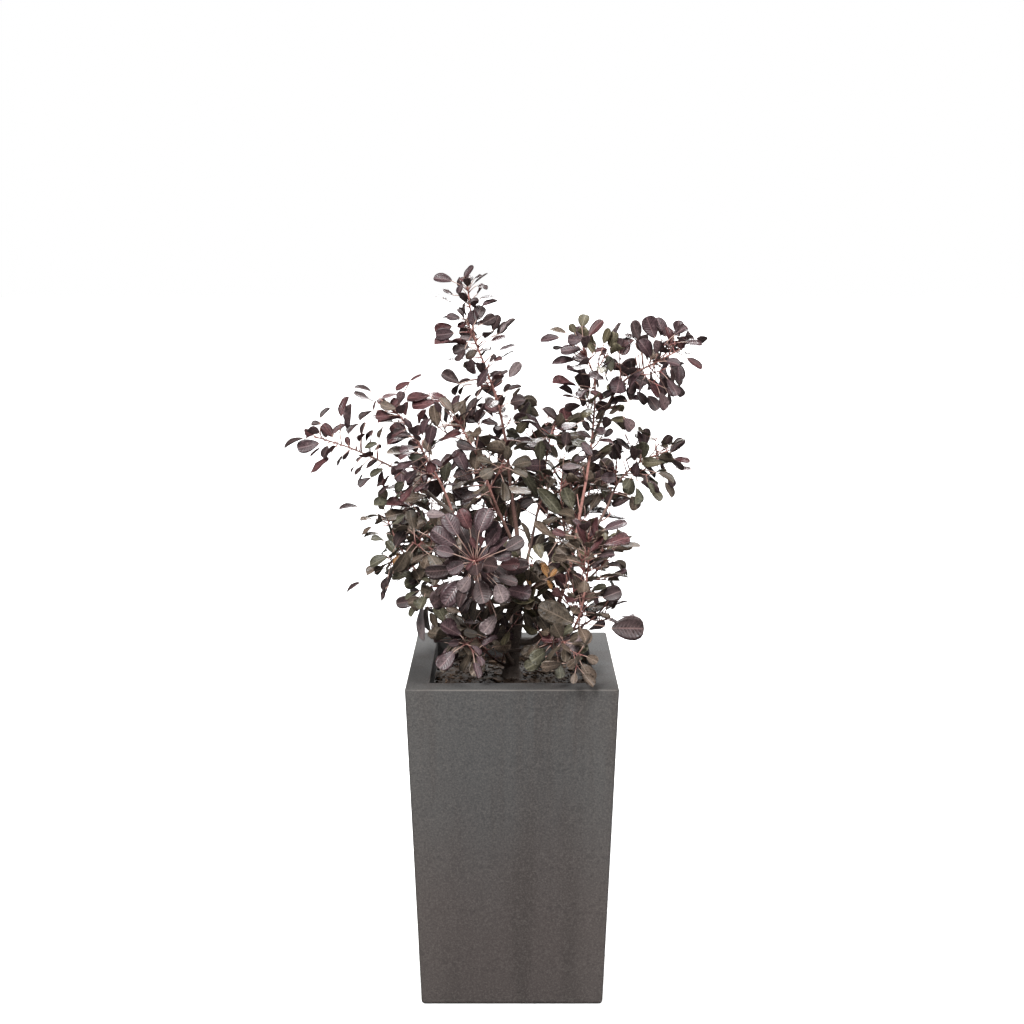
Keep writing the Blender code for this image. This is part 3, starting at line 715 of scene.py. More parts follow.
# A stalk's rings: how far along its bow they stand, how thick the stalk is at each and at its end under
# the blade, and how far each has turned from red to pale.
STALK_SIDES = 4
STALK_STEPS = (0, 0.3, 0.65, 1)
STALK_WIDTHS = (1.9, 1.15, 0.95, 1.0, 0.5)
STALK_AGES = (0.0, 0.3, 0.7, 1.0, 1.0)

# Where the row of leaves starts on a stem, a twig and a small twig, and where it ends, as shares of the
# length, how clear of the stem and the twig its stalks are tried, and how many leaves keep its tint.
FIRST_ON_STEM = 0.04
FIRST_ON_TWIG = 0.30
FIRST_ON_SMALL_TWIG = 0.35
ROW_END = 0.985
STEM_CLEARANCE = 0.002
TWIG_CLEARANCE = 0.004
TINT_KEPT = 0.72

# Where the leaf that ends a row stands, how far it leans from the stem, and its size beside the others.
LAST_LEAF_AT = 0.97
LAST_LEAF_LEAN = math.radians(12)
LAST_LEAF_SIZE = 0.72

# How much smaller leaves are on spurs and small twigs, and how a branch's length and radius compare with
# those of what it grows on.
SMALLER = 0.95
SHORTER = 0.6
THINNER = 0.7

# How each twig and leaf differs by chance from the usual: the shares by which the lengths of twigs and
# spurs, a stalk's length, a blade's length and width and its sag are multiplied, the spread of a leaf's
# angle, how far it strays and rolls, and how often it is tried again.
TWIG_LENGTHS = (0.75, 1.2)
SPUR_LENGTHS = (0.6, 1.4)
STALK_LENGTHS = (0.95, 1.55)
BLADE_LENGTHS = (0.74, 1.14)
BLADE_WIDTHS = (0.84, 1.16)
SAGS = (0.2, 2.0)
SPREAD_CHANCE = 0.20
SPREAD_STEP = 0.12
STRAY = 0.15
USUAL_ROLL_SHARE = 0.8
LOOSE_ROLL = 1.5
ATTEMPTS = 6

# A blade's outline narrows by these powers towards its base and its tip. Their product is greatest at
# the widest place, which the outline is divided by. Its midrib is thicker than the rest, and it waves
# this many times in its length, in radians.
BASE_NARROWS = 0.68
TIP_NARROWS = 0.40
WIDEST = 0.492
MIDRIB_THICKER = 2.2
WAVES = 11

# A blade has this many pairs of side veins, which lean this much towards its tip.
SIDE_VEINS = 9.0
VEIN_LEAN = 2.1

# The blade's own forms: how far it folds along its midrib, arches along its length, waves at its margin
# and twists, each as a share of its length.
BLADE_FORMS = (
    dict(fold=0.10, arch=-0.06, wave=0.010, twist=0.1),
    dict(fold=0.22, arch=-0.14, wave=0.016, twist=-0.2),
    dict(fold=0.14, arch=0.10, wave=0.022, twist=0.3),
    dict(fold=0.30, arch=-0.22, wave=0.012, twist=0.0),
    dict(fold=0.05, arch=-0.10, wave=0.034, twist=-0.4),
    dict(fold=0.42, arch=0.05, wave=0.020, twist=0.5),
)

# The colours of a blade's upper side, its veins and its underside.
TINTS = {
    "dusk": dict(blade=(0.031, 0.019, 0.019), vein=(0.126, 0.078, 0.075), under=(0.075, 0.051, 0.051)),
    "plum": dict(blade=(0.042, 0.022, 0.026), vein=(0.150, 0.090, 0.092), under=(0.110, 0.074, 0.076)),
    "wine": dict(blade=(0.064, 0.023, 0.025), vein=(0.165, 0.070, 0.069), under=(0.095, 0.046, 0.047)),
    "cocoa": dict(blade=(0.084, 0.058, 0.042), vein=(0.210, 0.158, 0.120), under=(0.130, 0.100, 0.076)),
    "umber": dict(blade=(0.060, 0.046, 0.033), vein=(0.155, 0.118, 0.088), under=(0.090, 0.072, 0.054)),
    "olive": dict(blade=(0.080, 0.067, 0.036), vein=(0.220, 0.185, 0.120), under=(0.140, 0.122, 0.080)),
    "moss": dict(blade=(0.062, 0.057, 0.037), vein=(0.150, 0.140, 0.095), under=(0.090, 0.086, 0.060)),
    "mauve": dict(blade=(0.135, 0.100, 0.102), vein=(0.240, 0.180, 0.172), under=(0.190, 0.150, 0.146)),
    "rust": dict(blade=(0.230, 0.100, 0.036), vein=(0.400, 0.230, 0.080), under=(0.310, 0.170, 0.080)),
}
TINT_NAMES = list(TINTS)
UPPER_ROUGHNESS = 0.38
UPPER_SPECULAR = 0.38
UNDER_ROUGHNESS = 0.60
UNDER_SPECULAR = 0.2
TILE_EDGE = 0.04

# What a shoot bears: the leaves on its stem, the twigs that branch from it with their length and the
# leaves on each, the short spurs on the bare wood below, the size of its blades, the length of its
# stalks, how far leaves stand away from the stem at its foot and at its tip, in degrees, how far they
# roll about their midribs and sag, how much smaller they get towards the tip, how much of their spread
# goes sideways, how far they reach out of their mass, how long the spurs are, how steeply they rise, and
# the leaves' tints. First what is usual, and then what each shoot has of its own.
USUAL_SPRAY = dict(
    each=5, spurs=3, stalk=0.030, lean=(86, 50), roll=0.80, sag=0.20, taper=0.30, across=1.0,
    margin=0.006, spur_length=0.032, rise=0.25)
OWN_SPRAYS = {
    "tall": dict(
        leaves=36, twigs=3, reach=0.045, each=4, size=0.6, stalk=0.038, lean=(92, 40), roll=0.4, sag=0.05,
        across=0.45, tints=("dusk", "plum", "wine")),
    "right": dict(
        leaves=22, twigs=3, reach=0.045, each=4, spurs=5, size=0.64, stalk=0.036, lean=(94, 42), roll=0.35,
        sag=0.00, taper=0.1, across=0.45, tints=("plum", "olive", "dusk")),
    "left": dict(
        leaves=28, twigs=3, reach=0.055, each=4, size=0.6, stalk=0.036, lean=(85, 38), roll=0.4, sag=0.00,
        across=0.7, tints=("wine", "plum", "cocoa")),
    "front": dict(
        leaves=36, twigs=2, reach=0.045, size=0.78, stalk=0.036, lean=(84, 70), roll=0.55, sag=0.05,
        taper=0.1, tints=("dusk", "plum", "dusk")),
    "back": dict(
        leaves=40, twigs=6, reach=0.085, each=6, spurs=4, size=0.88, stalk=0.032, lean=(82, 45), sag=0.15,
        tints=("dusk", "plum", "cocoa")),
    "right_arm": dict(
        leaves=18, twigs=4, reach=0.050, each=4, spurs=1, size=0.64, stalk=0.035, lean=(92, 52), roll=0.90,
        sag=0.25, taper=0.1, across=0.6, tints=("dusk", "plum", "plum")),
    "right_low": dict(
        leaves=12, twigs=4, reach=0.050, each=4, spurs=2, size=0.66, stalk=0.036, lean=(88, 50), sag=0.15,
        across=0.7, tints=("dusk", "umber", "moss")),
    "left_arm": dict(
        leaves=14, twigs=0, reach=0.035, each=4, spurs=1, size=0.5, stalk=0.032, lean=(86, 60), roll=0.3,
        sag=0.3, taper=-0.15, across=0.6, tints=("wine", "dusk", "plum")),
    "left_low": dict(
        leaves=22, twigs=4, reach=0.060, each=4, spurs=9, size=0.68, stalk=0.038, lean=(88, 55), roll=0.60,
        sag=0.15, spur_length=0.060, rise=-0.35, margin=0.014, tints=("umber", "moss", "dusk")),
    "centre_left": dict(
        leaves=28, twigs=5, reach=0.070, size=0.74, lean=(86, 48), sag=0.15,
        tints=("cocoa", "plum", "umber")),
    "centre_back": dict(
        leaves=24, twigs=5, reach=0.065, spurs=4, size=0.80, lean=(86, 48), roll=0.90,
        tints=("umber", "plum", "moss")),
    "front_right": dict(
        leaves=36, twigs=2, reach=0.055, size=0.6, stalk=0.046, lean=(78, 34), roll=0.45, sag=0.05,
        margin=-0.01, across=0.8, tints=("cocoa", "plum", "wine")),
    "front_low": dict(
        leaves=30, twigs=7, reach=0.070, spurs=4, size=0.72, roll=0.90, tints=("umber", "cocoa", "plum")),
    "right_foot": dict(
        leaves=10, twigs=3, reach=0.040, spurs=2, size=0.84, stalk=0.026, lean=(80, 45), sag=0.05,
        margin=-0.015, tints=("umber", "cocoa", "plum")),
    "front_foot": dict(
        leaves=12, twigs=4, reach=0.050, spurs=1, size=0.66, stalk=0.026, lean=(76, 40), sag=0.00,
        tints=("umber", "cocoa", "moss")),
    "inner_left": dict(
        leaves=34, twigs=5, reach=0.070, spurs=2, size=0.80, roll=0.90, tints=("cocoa", "umber", "moss")),
    "inner_right": dict(
        leaves=18, twigs=3, reach=0.040, spurs=2, size=0.72, stalk=0.028, roll=0.90, margin=-0.02,
        tints=("umber", "cocoa", "olive")),
    "centre_front": dict(
        leaves=34, twigs=6, reach=0.065, spurs=2, size=0.84, tints=("cocoa", "umber", "olive")),
    "centre_right": dict(
        leaves=26, twigs=5, reach=0.060, spurs=2, size=0.80, roll=0.90, tints=("umber", "cocoa", "moss")),
    "back_left": dict(
        leaves=32, twigs=6, reach=0.085, each=6, size=0.88, stalk=0.032, lean=(84, 46),
        tints=("dusk", "plum", "cocoa")),
    "back_right": dict(
        leaves=32, twigs=6, reach=0.085, each=6, size=0.88, stalk=0.032, lean=(84, 46),
        tints=("dusk", "plum", "cocoa")),
}
SPRAYS = {name: USUAL_SPRAY | own for name, own in OWN_SPRAYS.items()}

# Single leaves that the crown is known by, as they show from the front: how far across, up and back the
# blade starts and its length, in millimetres, the way it points, in degrees up from the right, how wide
# it shows, in hundredths of its length, and its tint.
KNOWN_LEAVES = {
    "tall": (
        (-115, 1392, 40, 36, 165, 50, "plum"), (-93, 1399, 52, 29, 45, 45, "plum"),
        (-116, 1350, 50, 34, 155, 15, "dusk"), (-74, 1386, 65, 34, 40, 10, "dusk"),
        (-113, 1366, 30, 22, 150, 30, "dusk"), (-58, 1344, 45, 32, 15, 25, "plum"),
        (-100, 1322, 30, 27, 170, 60, "plum"), (-117, 1305, 55, 35, 195, 70, "wine"),
        (-75, 1307, 22, 31, 85, 75, "plum"), (-110, 1274, 40, 41, 185, 20, "wine"),
        (-101, 1242, 45, 31, 180, 15, "dusk"), (-102, 1197, 15, 40, 150, 50, "dusk"),
        (-37, 1296, 55, 33, 70, 55, "dusk"), (-29, 1291, 35, 31, 45, 55, "dusk"),
        (-23, 1293, 15, 41, 40, 20, "mauve"), (-41, 1277, 45, 31, 20, 30, "wine"),
        (-25, 1260, 40, 33, 20, 20, "plum"), (-6, 1209, 25, 36, 50, 60, "mauve"),
        (-8, 1183, 30, 28, 10, 30, "dusk"), (2, 1164, 45, 26, 50, 20, "cocoa"),
        (-46, 1226, 8, 40, 235, 45, "plum"), (-81, 1267, 25, 35, 200, 50, "dusk"),
        (-68, 1288, 60, 36, 170, 60, "dusk"), (-68, 1257, 58, 27, 210, 65, "cocoa"),
        (-74, 1228, 48, 22, 170, 70, "cocoa"), (-43, 1185, 50, 29, 40, 55, "dusk"),
        (-63, 1189, 65, 39, 320, 45, "dusk"), (-27, 1142, 20, 32, 140, 75, "wine"),
        (-51, 1139, 40, 44, 200, 60, "dusk"), (-27, 1115, 30, 34, 165, 35, "dusk"),
        (-79, 1386, 50, 25, 150, 40, "wine"), (-94, 1386, 45, 21, 235, 55, "plum"),
        (-73, 1396, 55, 16, 30, 25, "dusk"), (-69, 1383, 45, 23, 355, 25, "dusk"),
        (-62, 1358, 50, 26, 15, 15, "dusk"), (-85, 1351, 35, 22, 15, 55, "dusk"),
        (-73, 1309, 30, 21, 20, 35, "wine"), (-81, 1314, 40, 26, 205, 35, "wine"),
        (-76, 1282, 50, 27, 180, 50, "mauve"), (-58, 1288, 50, 16, 355, 35, "dusk"),
        (-66, 1258, 45, 26, 10, 15, "dusk"), (-45, 1235, 40, 21, 55, 30, "dusk"),
        (-37, 1239, 35, 19, 25, 40, "wine"), (-43, 1210, 35, 19, 35, 30, "dusk"),
        (-23, 1214, 30, 17, 20, 45, "dusk"), (-101, 1195, 30, 25, 245, 40, "dusk"),
        (-93, 1191, 34, 19, 250, 30, "cocoa"), (-57, 1185, 50, 22, 225, 35, "dusk"),
    ),
    "right": (
        (131, 1310, -45, 25, 75, 90, "olive"), (119, 1298, -30, 19, 120, 85, "olive"),
        (101, 1299, -45, 31, 165, 35, "cocoa"), (88, 1291, -62, 36, 185, 40, "plum"),
        (144, 1294, -52, 39, 50, 45, "wine"), (128, 1288, -78, 26, 180, 85, "plum"),
        (129, 1270, -60, 39, 185, 45, "plum"), (117, 1248, -45, 43, 185, 35, "plum"),
        (149, 1233, -50, 38, 185, 10, "dusk"), (121, 1200, -50, 46, 175, 15, "wine"),
        (125, 1175, -50, 31, 165, 10, "dusk"), (189, 1284, -30, 37, 60, 10, "mauve"),
        (188, 1224, -30, 31, 100, 60, "moss"), (125, 1195, -45, 37, 290, 35, "dusk"),
        (185, 1162, -20, 35, 15, 40, "dusk"), (187, 1132, -30, 32, 5, 35, "olive"),
        (184, 1145, -40, 23, 25, 35, "cocoa"), (177, 1174, -26, 33, 25, 15, "dusk"),
        (159, 1135, -50, 23, 55, 50, "cocoa"), (161, 1108, -50, 19, 25, 70, "mauve"),
        (176, 1100, -34, 22, 45, 60, "dusk"), (164, 1094, -46, 29, 0, 20, "wine"),
        (148, 1117, -46, 18, 130, 65, "dusk"), (151, 1098, -30, 29, 155, 40, "dusk"),
        (152, 1067, -56, 32, 125, 55, "plum"), (143, 1090, -40, 31, 170, 30, "moss"),
        (154, 1263, -45, 26, 5, 30, "wine"), (158, 1215, -50, 20, 285, 30, "dusk"),
        (90, 1269, -50, 14, 165, 55, "dusk"), (147, 1191, -56, 27, 335, 35, "wine"),
        (152, 1127, -50, 32, 135, 30, "dusk"),
    ),
    "right_arm": (
        (274, 1285, 12, 45, 115, 75, "plum"), (297, 1286, 34, 41, 115, 55, "plum"),
        (244, 1278, 0, 41, 115, 45, "dusk"), (222, 1288, 4, 37, 250, 70, "wine"),
        (320, 1293, 30, 25, 90, 85, "plum"), (327, 1274, 40, 27, 25, 70, "dusk"),
        (338, 1245, 30, 36, 330, 40, "wine"), (334, 1252, 42, 31, 355, 15, "dusk"),
        (260, 1241, 12, 31, 100, 30, "dusk"), (307, 1231, 22, 43, 295, 45, "dusk"),
        (315, 1196, 4, 28, 305, 60, "dusk"), (289, 1207, 28, 36, 280, 55, "plum"),
        (289, 1233, -4, 25, 275, 55, "mauve"), (261, 1176, -6, 33, 305, 75, "dusk"),
        (222, 1191, 10, 27, 290, 65, "dusk"), (301, 1179, 14, 24, 285, 40, "dusk"),
        (227, 1213, 4, 36, 335, 55, "dusk"), (222, 1165, -10, 26, 165, 45, "dusk"),
        (220, 1200, -14, 41, 190, 30, "olive"), (240, 1183, 0, 30, 310, 60, "dusk"),
        (266, 1199, 10, 33, 300, 55, "wine"), (308, 1271, 26, 36, 105, 45, "wine"),
        (326, 1261, 30, 27, 80, 65, "wine"), (233, 1282, 0, 33, 195, 50, "wine"),
        (237, 1288, 6, 29, 170, 35, "dusk"), (285, 1239, 20, 28, 130, 75, "cocoa"),
        (192, 1231, 0, 29, 350, 20, "wine"),
    ),
    "right_low": (
        (264, 1070, 55, 36, 95, 50, "dusk"), (253, 1073, 36, 30, 100, 35, "plum"),
        (256, 1040, 70, 33, 100, 55, "moss"), (204, 1088, 40, 35, 315, 35, "dusk"),
        (201, 1078, 30, 32, 280, 20, "dusk"), (313, 1055, 60, 39, 50, 40, "dusk"),
        (321, 1043, 60, 32, 355, 35, "wine"), (328, 1023, 72, 30, 350, 30, "wine"),
        (295, 1038, 40, 41, 175, 45, "olive"), (293, 1035, 60, 27, 295, 35, "dusk"),
        (245, 1043, 26, 32, 260, 55, "plum"), (237, 1007, 50, 35, 255, 75, "moss"),
        (235, 973, 34, 31, 295, 85, "cocoa"), (275, 987, 50, 33, 310, 55, "olive"),
        (304, 996, 64, 35, 295, 50, "cocoa"), (308, 1013, 48, 28, 300, 60, "plum"),
        (172, 1014, 10, 31, 0, 80, "plum"), (165, 1060, 0, 30, 25, 55, "cocoa"),
        (234, 970, 30, 40, 200, 30, "dusk"), (196, 984, 20, 30, 250, 40, "dusk"),
        (241, 1024, 45, 37, 320, 45, "dusk"),
    ),
    "left_arm": (
        (-411, 1085, 50, 41, 195, 15, "dusk"), (-379, 1077, 45, 45, 195, 60, "plum"),
        (-360, 1049, 38, 56, 215, 25, "wine"), (-333, 1131, 30, 42, 65, 40, "wine"),
        (-320, 1099, 44, 58, 80, 10, "plum"), (-367, 1086, 56, 30, 90, 65, "dusk"),
        (-377, 1126, 50, 28, 40, 35, "dusk"), (-360, 1074, 30, 27, 245, 65, "dusk"),
        (-332, 1054, 26, 29, 235, 25, "dusk"), (-289, 1040, 16, 27, 235, 20, "dusk"),
        (-261, 1049, 8, 27, 210, 35, "dusk"), (-250, 1033, 0, 30, 205, 40, "moss"),
        (-286, 1122, 20, 26, 245, 25, "dusk"), (-250, 1114, 8, 23, 250, 25, "cocoa"),
        (-270, 1107, 14, 25, 230, 30, "dusk"), (-262, 1082, 10, 27, 195, 45, "moss"),
        (-300, 1117, 30, 28, 225, 30, "dusk"), (-291, 1039, 14, 21, 235, 30, "dusk"),
        (-309, 1033, 22, 14, 235, 35, "dusk"), (-296, 1052, 30, 13, 220, 45, "dusk"),
        (-271, 1103, 30, 21, 220, 40, "wine"), (-250, 1114, 10, 22, 245, 25, "dusk"),
        (-286, 1118, 40, 21, 235, 35, "wine"), (-319, 1073, 34, 19, 105, 65, "wine"),
        (-352, 1089, 48, 32, 125, 65, "wine"), (-353, 1095, 44, 32, 30, 35, "wine"),
        (-376, 1114, 56, 20, 175, 50, "dusk"), (-275, 1013, 14, 30, 220, 35, "dusk"),
        (-293, 1018, 20, 28, 240, 20, "dusk"), (-239, 1001, 0, 27, 220, 30, "dusk"),
        (-242, 1014, 6, 27, 215, 20, "dusk"),
    ),
    "left": (
        (-264, 1191, -72, 32, 155, 20, "dusk"), (-258, 1173, -80, 41, 160, 15, "dusk"),
        (-214, 1186, -66, 31, 190, 20, "wine"), (-191, 1209, -70, 31, 205, 35, "wine"),
        (-192, 1210, -60, 26, 30, 20, "wine"), (-262, 1156, -84, 30, 220, 20, "dusk"),
        (-233, 1139, -70, 33, 165, 30, "dusk"), (-216, 1161, -92, 31, 165, 50, "cocoa"),
        (-194, 1108, -78, 31, 170, 50, "dusk"), (-193, 1104, -60, 45, 195, 40, "plum"),
        (-190, 1108, -74, 33, 165, 45, "dusk"), (-179, 1085, -50, 21, 190, 55, "mauve"),
        (-224, 1164, -85, 17, 50, 65, "wine"), (-260, 1158, -80, 19, 65, 30, "wine"),
        (-206, 1144, -76, 47, 195, 10, "wine"), (-165, 1064, -60, 31, 175, 55, "moss"),
        (-199, 1085, -62, 30, 205, 50, "cocoa"), (-152, 1069, -58, 33, 125, 35, "cocoa"),
    ),
    "centre_left": (
        (-156, 1179, -35, 46, 185, 35, "wine"), (-124, 1170, -20, 40, 160, 40, "wine"),
        (-142, 1122, -50, 43, 100, 60, "cocoa"), (-93, 1167, -30, 31, 220, 55, "cocoa"),
        (-104, 1144, -14, 33, 265, 55, "dusk"), (-136, 1170, -44, 55, 195, 30, "wine"),
        (-88, 1034, -40, 47, 115, 60, "plum"), (-71, 1034, -20, 43, 85, 65, "cocoa"),
        (-129, 1012, -30, 41, 85, 55, "moss"), (-117, 992, 0, 43, 340, 40, "dusk"),
        (-58, 985, -10, 41, 200, 40, "dusk"), (-39, 1006, 30, 44, 240, 40, "dusk"),
        (-51, 1032, 40, 56, 350, 40, "cocoa"), (-155, 1125, -50, 18, 195, 55, "wine"),
        (-142, 1119, -45, 27, 225, 40, "olive"), (-143, 1095, -40, 23, 220, 40, "moss"),
        (-135, 1093, -40, 41, 30, 25, "wine"), (-77, 1153, -10, 33, 240, 45, "dusk"),
        (-114, 1150, -35, 34, 130, 50, "cocoa"), (-69, 1075, -30, 40, 165, 40, "dusk"),
    ),
    "left_low": (
        (-304, 952, 30, 37, 175, 15, "dusk"), (-276, 929, 26, 24, 185, 20, "cocoa"),
        (-279, 911, 34, 26, 215, 35, "cocoa"), (-253, 886, 20, 26, 175, 30, "moss"),
        (-231, 955, 36, 43, 180, 20, "moss"), (-245, 855, 14, 40, 200, 45, "moss"),
        (-258, 832, 26, 35, 210, 25, "cocoa"), (-302, 801, 20, 33, 210, 20, "dusk"),
        (-250, 792, 12, 29, 245, 40, "dusk"), (-188, 770, 4, 42, 190, 60, "dusk"),
        (-203, 821, 10, 36, 190, 40, "moss"), (-175, 763, -10, 74, 265, 25, "mauve"),
        (-166, 757, 6, 54, 265, 30, "cocoa"), (-211, 942, 30, 39, 195, 65, "cocoa"),
        (-210, 861, -6, 23, 225, 55, "rust"), (-213, 999, 46, 26, 220, 80, "moss"),
        (-228, 865, 4, 30, 290, 35, "rust"), (-211, 853, -12, 21, 300, 45, "wine"),
        (-227, 860, 10, 35, 125, 50, "moss"), (-210, 938, 20, 33, 215, 40, "moss"),
        (-220, 978, 30, 31, 225, 30, "moss"), (-167, 976, 20, 50, 190, 35, "cocoa"),
        (-206, 906, 0, 48, 40, 45, "cocoa"), (-220, 867, -30, 21, 240, 60, "rust"),
        (-211, 864, -34, 22, 265, 55, "rust"), (-179, 816, 0, 25, 210, 50, "dusk"),
        (-181, 778, -10, 27, 205, 75, "cocoa"), (-200, 954, 20, 47, 175, 15, "wine"),
    ),
    "front": (
        (-59, 958, -250, 47, 70, 78, "plum"), (-75, 961, -236, 42, 115, 68, "wine"),
        (-96, 955, -262, 45, 120, 73, "plum"), (-102, 935, -246, 50, 145, 73, "plum"),
        (-103, 922, -262, 33, 165, 78, "plum"), (-86, 900, -238, 33, 205, 88, "plum"),
        (-75, 879, -256, 33, 235, 78, "mauve"), (-56, 874, -236, 32, 255, 45, "mauve"),
        (-27, 867, -260, 35, 290, 93, "mauve"), (-36, 915, -244, 36, 5, 78, "plum"),
        (-12, 930, -262, 38, 30, 73, "dusk"), (-45, 930, -232, 38, 55, 68, "plum"),
        (-22, 895, -232, 36, 5, 73, "wine"), (-27, 876, -246, 39, 345, 45, "dusk"),
        (-29, 798, -222, 40, 235, 68, "mauve"), (-120, 985, -222, 34, 175, 40, "mauve"),
        (-64, 926, -246, 25, 120, 30, "wine"), (-57, 928, -238, 22, 95, 35, "wine"),
        (-50, 896, -242, 25, 295, 30, "wine"), (-70, 905, -250, 19, 230, 40, "wine"),
        (-62, 897, -214, 44, 310, 45, "plum"), (-36, 890, -216, 35, 320, 45, "dusk"),
        (-71, 884, -190, 40, 125, 45, "dusk"), (-62, 884, -190, 41, 60, 45, "plum"),
        (-62, 881, -188, 37, 215, 50, "dusk"), (-51, 880, -190, 45, 310, 40, "dusk"),
        (-70, 775, -180, 43, 80, 40, "umber"), (-51, 895, -190, 31, 305, 50, "dusk"),
        (-73, 882, -200, 56, 270, 25, "dusk"), (-58, 879, -200, 56, 290, 30, "plum"),
        (-66, 841, -185, 46, 230, 35, "dusk"), (-55, 833, -183, 38, 265, 45, "dusk"),
    ),
    "front_right": (
        (171, 941, -140, 46, 20, 30, "plum"), (169, 914, -150, 52, 20, 30, "wine"),
        (198, 913, -136, 42, 350, 20, "cocoa"), (160, 891, -146, 32, 15, 35, "plum"),
        (178, 871, -134, 25, 10, 30, "dusk"), (188, 849, -130, 31, 20, 25, "plum"),
        (150, 826, -140, 28, 20, 35, "moss"), (171, 809, -132, 37, 25, 85, "dusk"),
        (188, 748, -125, 63, 0, 75, "dusk"), (114, 766, -156, 73, 150, 55, "umber"),
        (157, 930, -160, 40, 85, 35, "wine"), (100, 933, -150, 26, 160, 55, "wine"),
        (137, 914, -150, 43, 110, 30, "wine"), (145, 912, -140, 39, 80, 30, "plum"),
        (128, 904, -146, 39, 150, 35, "cocoa"), (145, 902, -152, 38, 45, 30, "wine"),
        (131, 874, -140, 35, 150, 35, "cocoa"), (149, 871, -150, 27, 35, 50, "dusk"),
    ),
    "front_foot": (
        (130, 747, -175, 60, 220, 65, "mauve"), (93, 736, -165, 38, 175, 35, "wine"),
    ),
    "centre_back": (
        (30, 1115, 90, 31, 230, 65, "olive"), (56, 1098, 80, 43, 125, 35, "plum"),
        (14, 1122, 84, 38, 50, 25, "dusk"), (153, 1096, 80, 23, 120, 60, "dusk"),
        (90, 1114, 100, 37, 130, 45, "dusk"), (116, 1094, 110, 48, 110, 55, "wine"),
        (-4, 1071, 76, 43, 15, 30, "dusk"), (56, 1066, 70, 22, 170, 35, "dusk"),
        (78, 1055, 86, 38, 135, 40, "dusk"), (83, 1097, 120, 26, 205, 70, "dusk"),
        (0, 908, 60, 49, 75, 60, "cocoa"), (-24, 916, 60, 37, 80, 45, "olive"),
        (44, 959, 70, 31, 205, 55, "dusk"), (-18, 955, 60, 38, 40, 35, "olive"),
        (22, 1028, 70, 48, 0, 60, "plum"), (20, 1020, 70, 59, 295, 35, "moss"),
        (108, 1090, 110, 33, 135, 50, "plum"),
    ),
    "centre_front": (
        (70, 854, -120, 25, 130, 45, "rust"), (36, 829, -130, 23, 115, 40, "rust"),
        (55, 723, -50, 41, 130, 55, "dusk"), (64, 762, -60, 40, 145, 50, "dusk"),
        (85, 781, -70, 35, 135, 55, "cocoa"), (15, 754, -60, 29, 100, 55, "dusk"),
        (67, 855, -165, 26, 120, 35, "rust"), (70, 858, -168, 19, 45, 50, "rust"),
        (65, 851, -165, 20, 300, 40, "rust"), (88, 909, -80, 58, 150, 15, "cocoa"),
        (33, 895, -50, 45, 105, 20, "umber"), (35, 732, -80, 35, 105, 50, "umber"),
    ),
    "centre_right": (
        (172, 1066, 0, 23, 30, 60, "olive"), (151, 1046, 4, 32, 35, 50, "dusk"),
        (199, 1079, 20, 33, 285, 20, "dusk"), (104, 1074, 30, 28, 80, 80, "dusk"),
        (49, 995, 0, 66, 315, 40, "moss"), (136, 1037, 0, 39, 180, 25, "mauve"),
        (138, 1017, 10, 43, 165, 35, "plum"), (119, 954, 0, 45, 115, 60, "moss"),
        (152, 1073, 10, 37, 160, 35, "moss"), (147, 1058, 4, 28, 205, 35, "plum"),
    ),
    "front_low": (
        (-128, 742, -60, 41, 120, 60, "moss"), (-127, 728, -50, 31, 175, 55, "dusk"),
        (-100, 770, -90, 28, 160, 60, "cocoa"), (-76, 809, -120, 37, 240, 55, "dusk"),
        (-60, 767, -150, 30, 175, 25, "mauve"), (-48, 748, -80, 32, 80, 55, "dusk"),
        (-12, 733, -70, 32, 100, 55, "dusk"), (-139, 712, -80, 28, 145, 60, "cocoa"),
        (-80, 729, -100, 35, 185, 50, "dusk"), (-128, 776, -50, 34, 165, 40, "umber"),
        (-146, 730, -60, 32, 110, 45, "umber"), (-46, 755, -120, 43, 50, 40, "umber"),
        (-69, 728, -110, 32, 110, 50, "umber"), (-34, 728, -110, 34, 70, 40, "dusk"),
    ),
}

# How wide a known leaf is for its length, how fully it faces the front at most, and how far back along
# the shoot from the nearest place its stalk starts.
KNOWN_WIDTH = 0.60
MOST_FACED = 0.95
KNOWN_STALK_BACK = 0.012

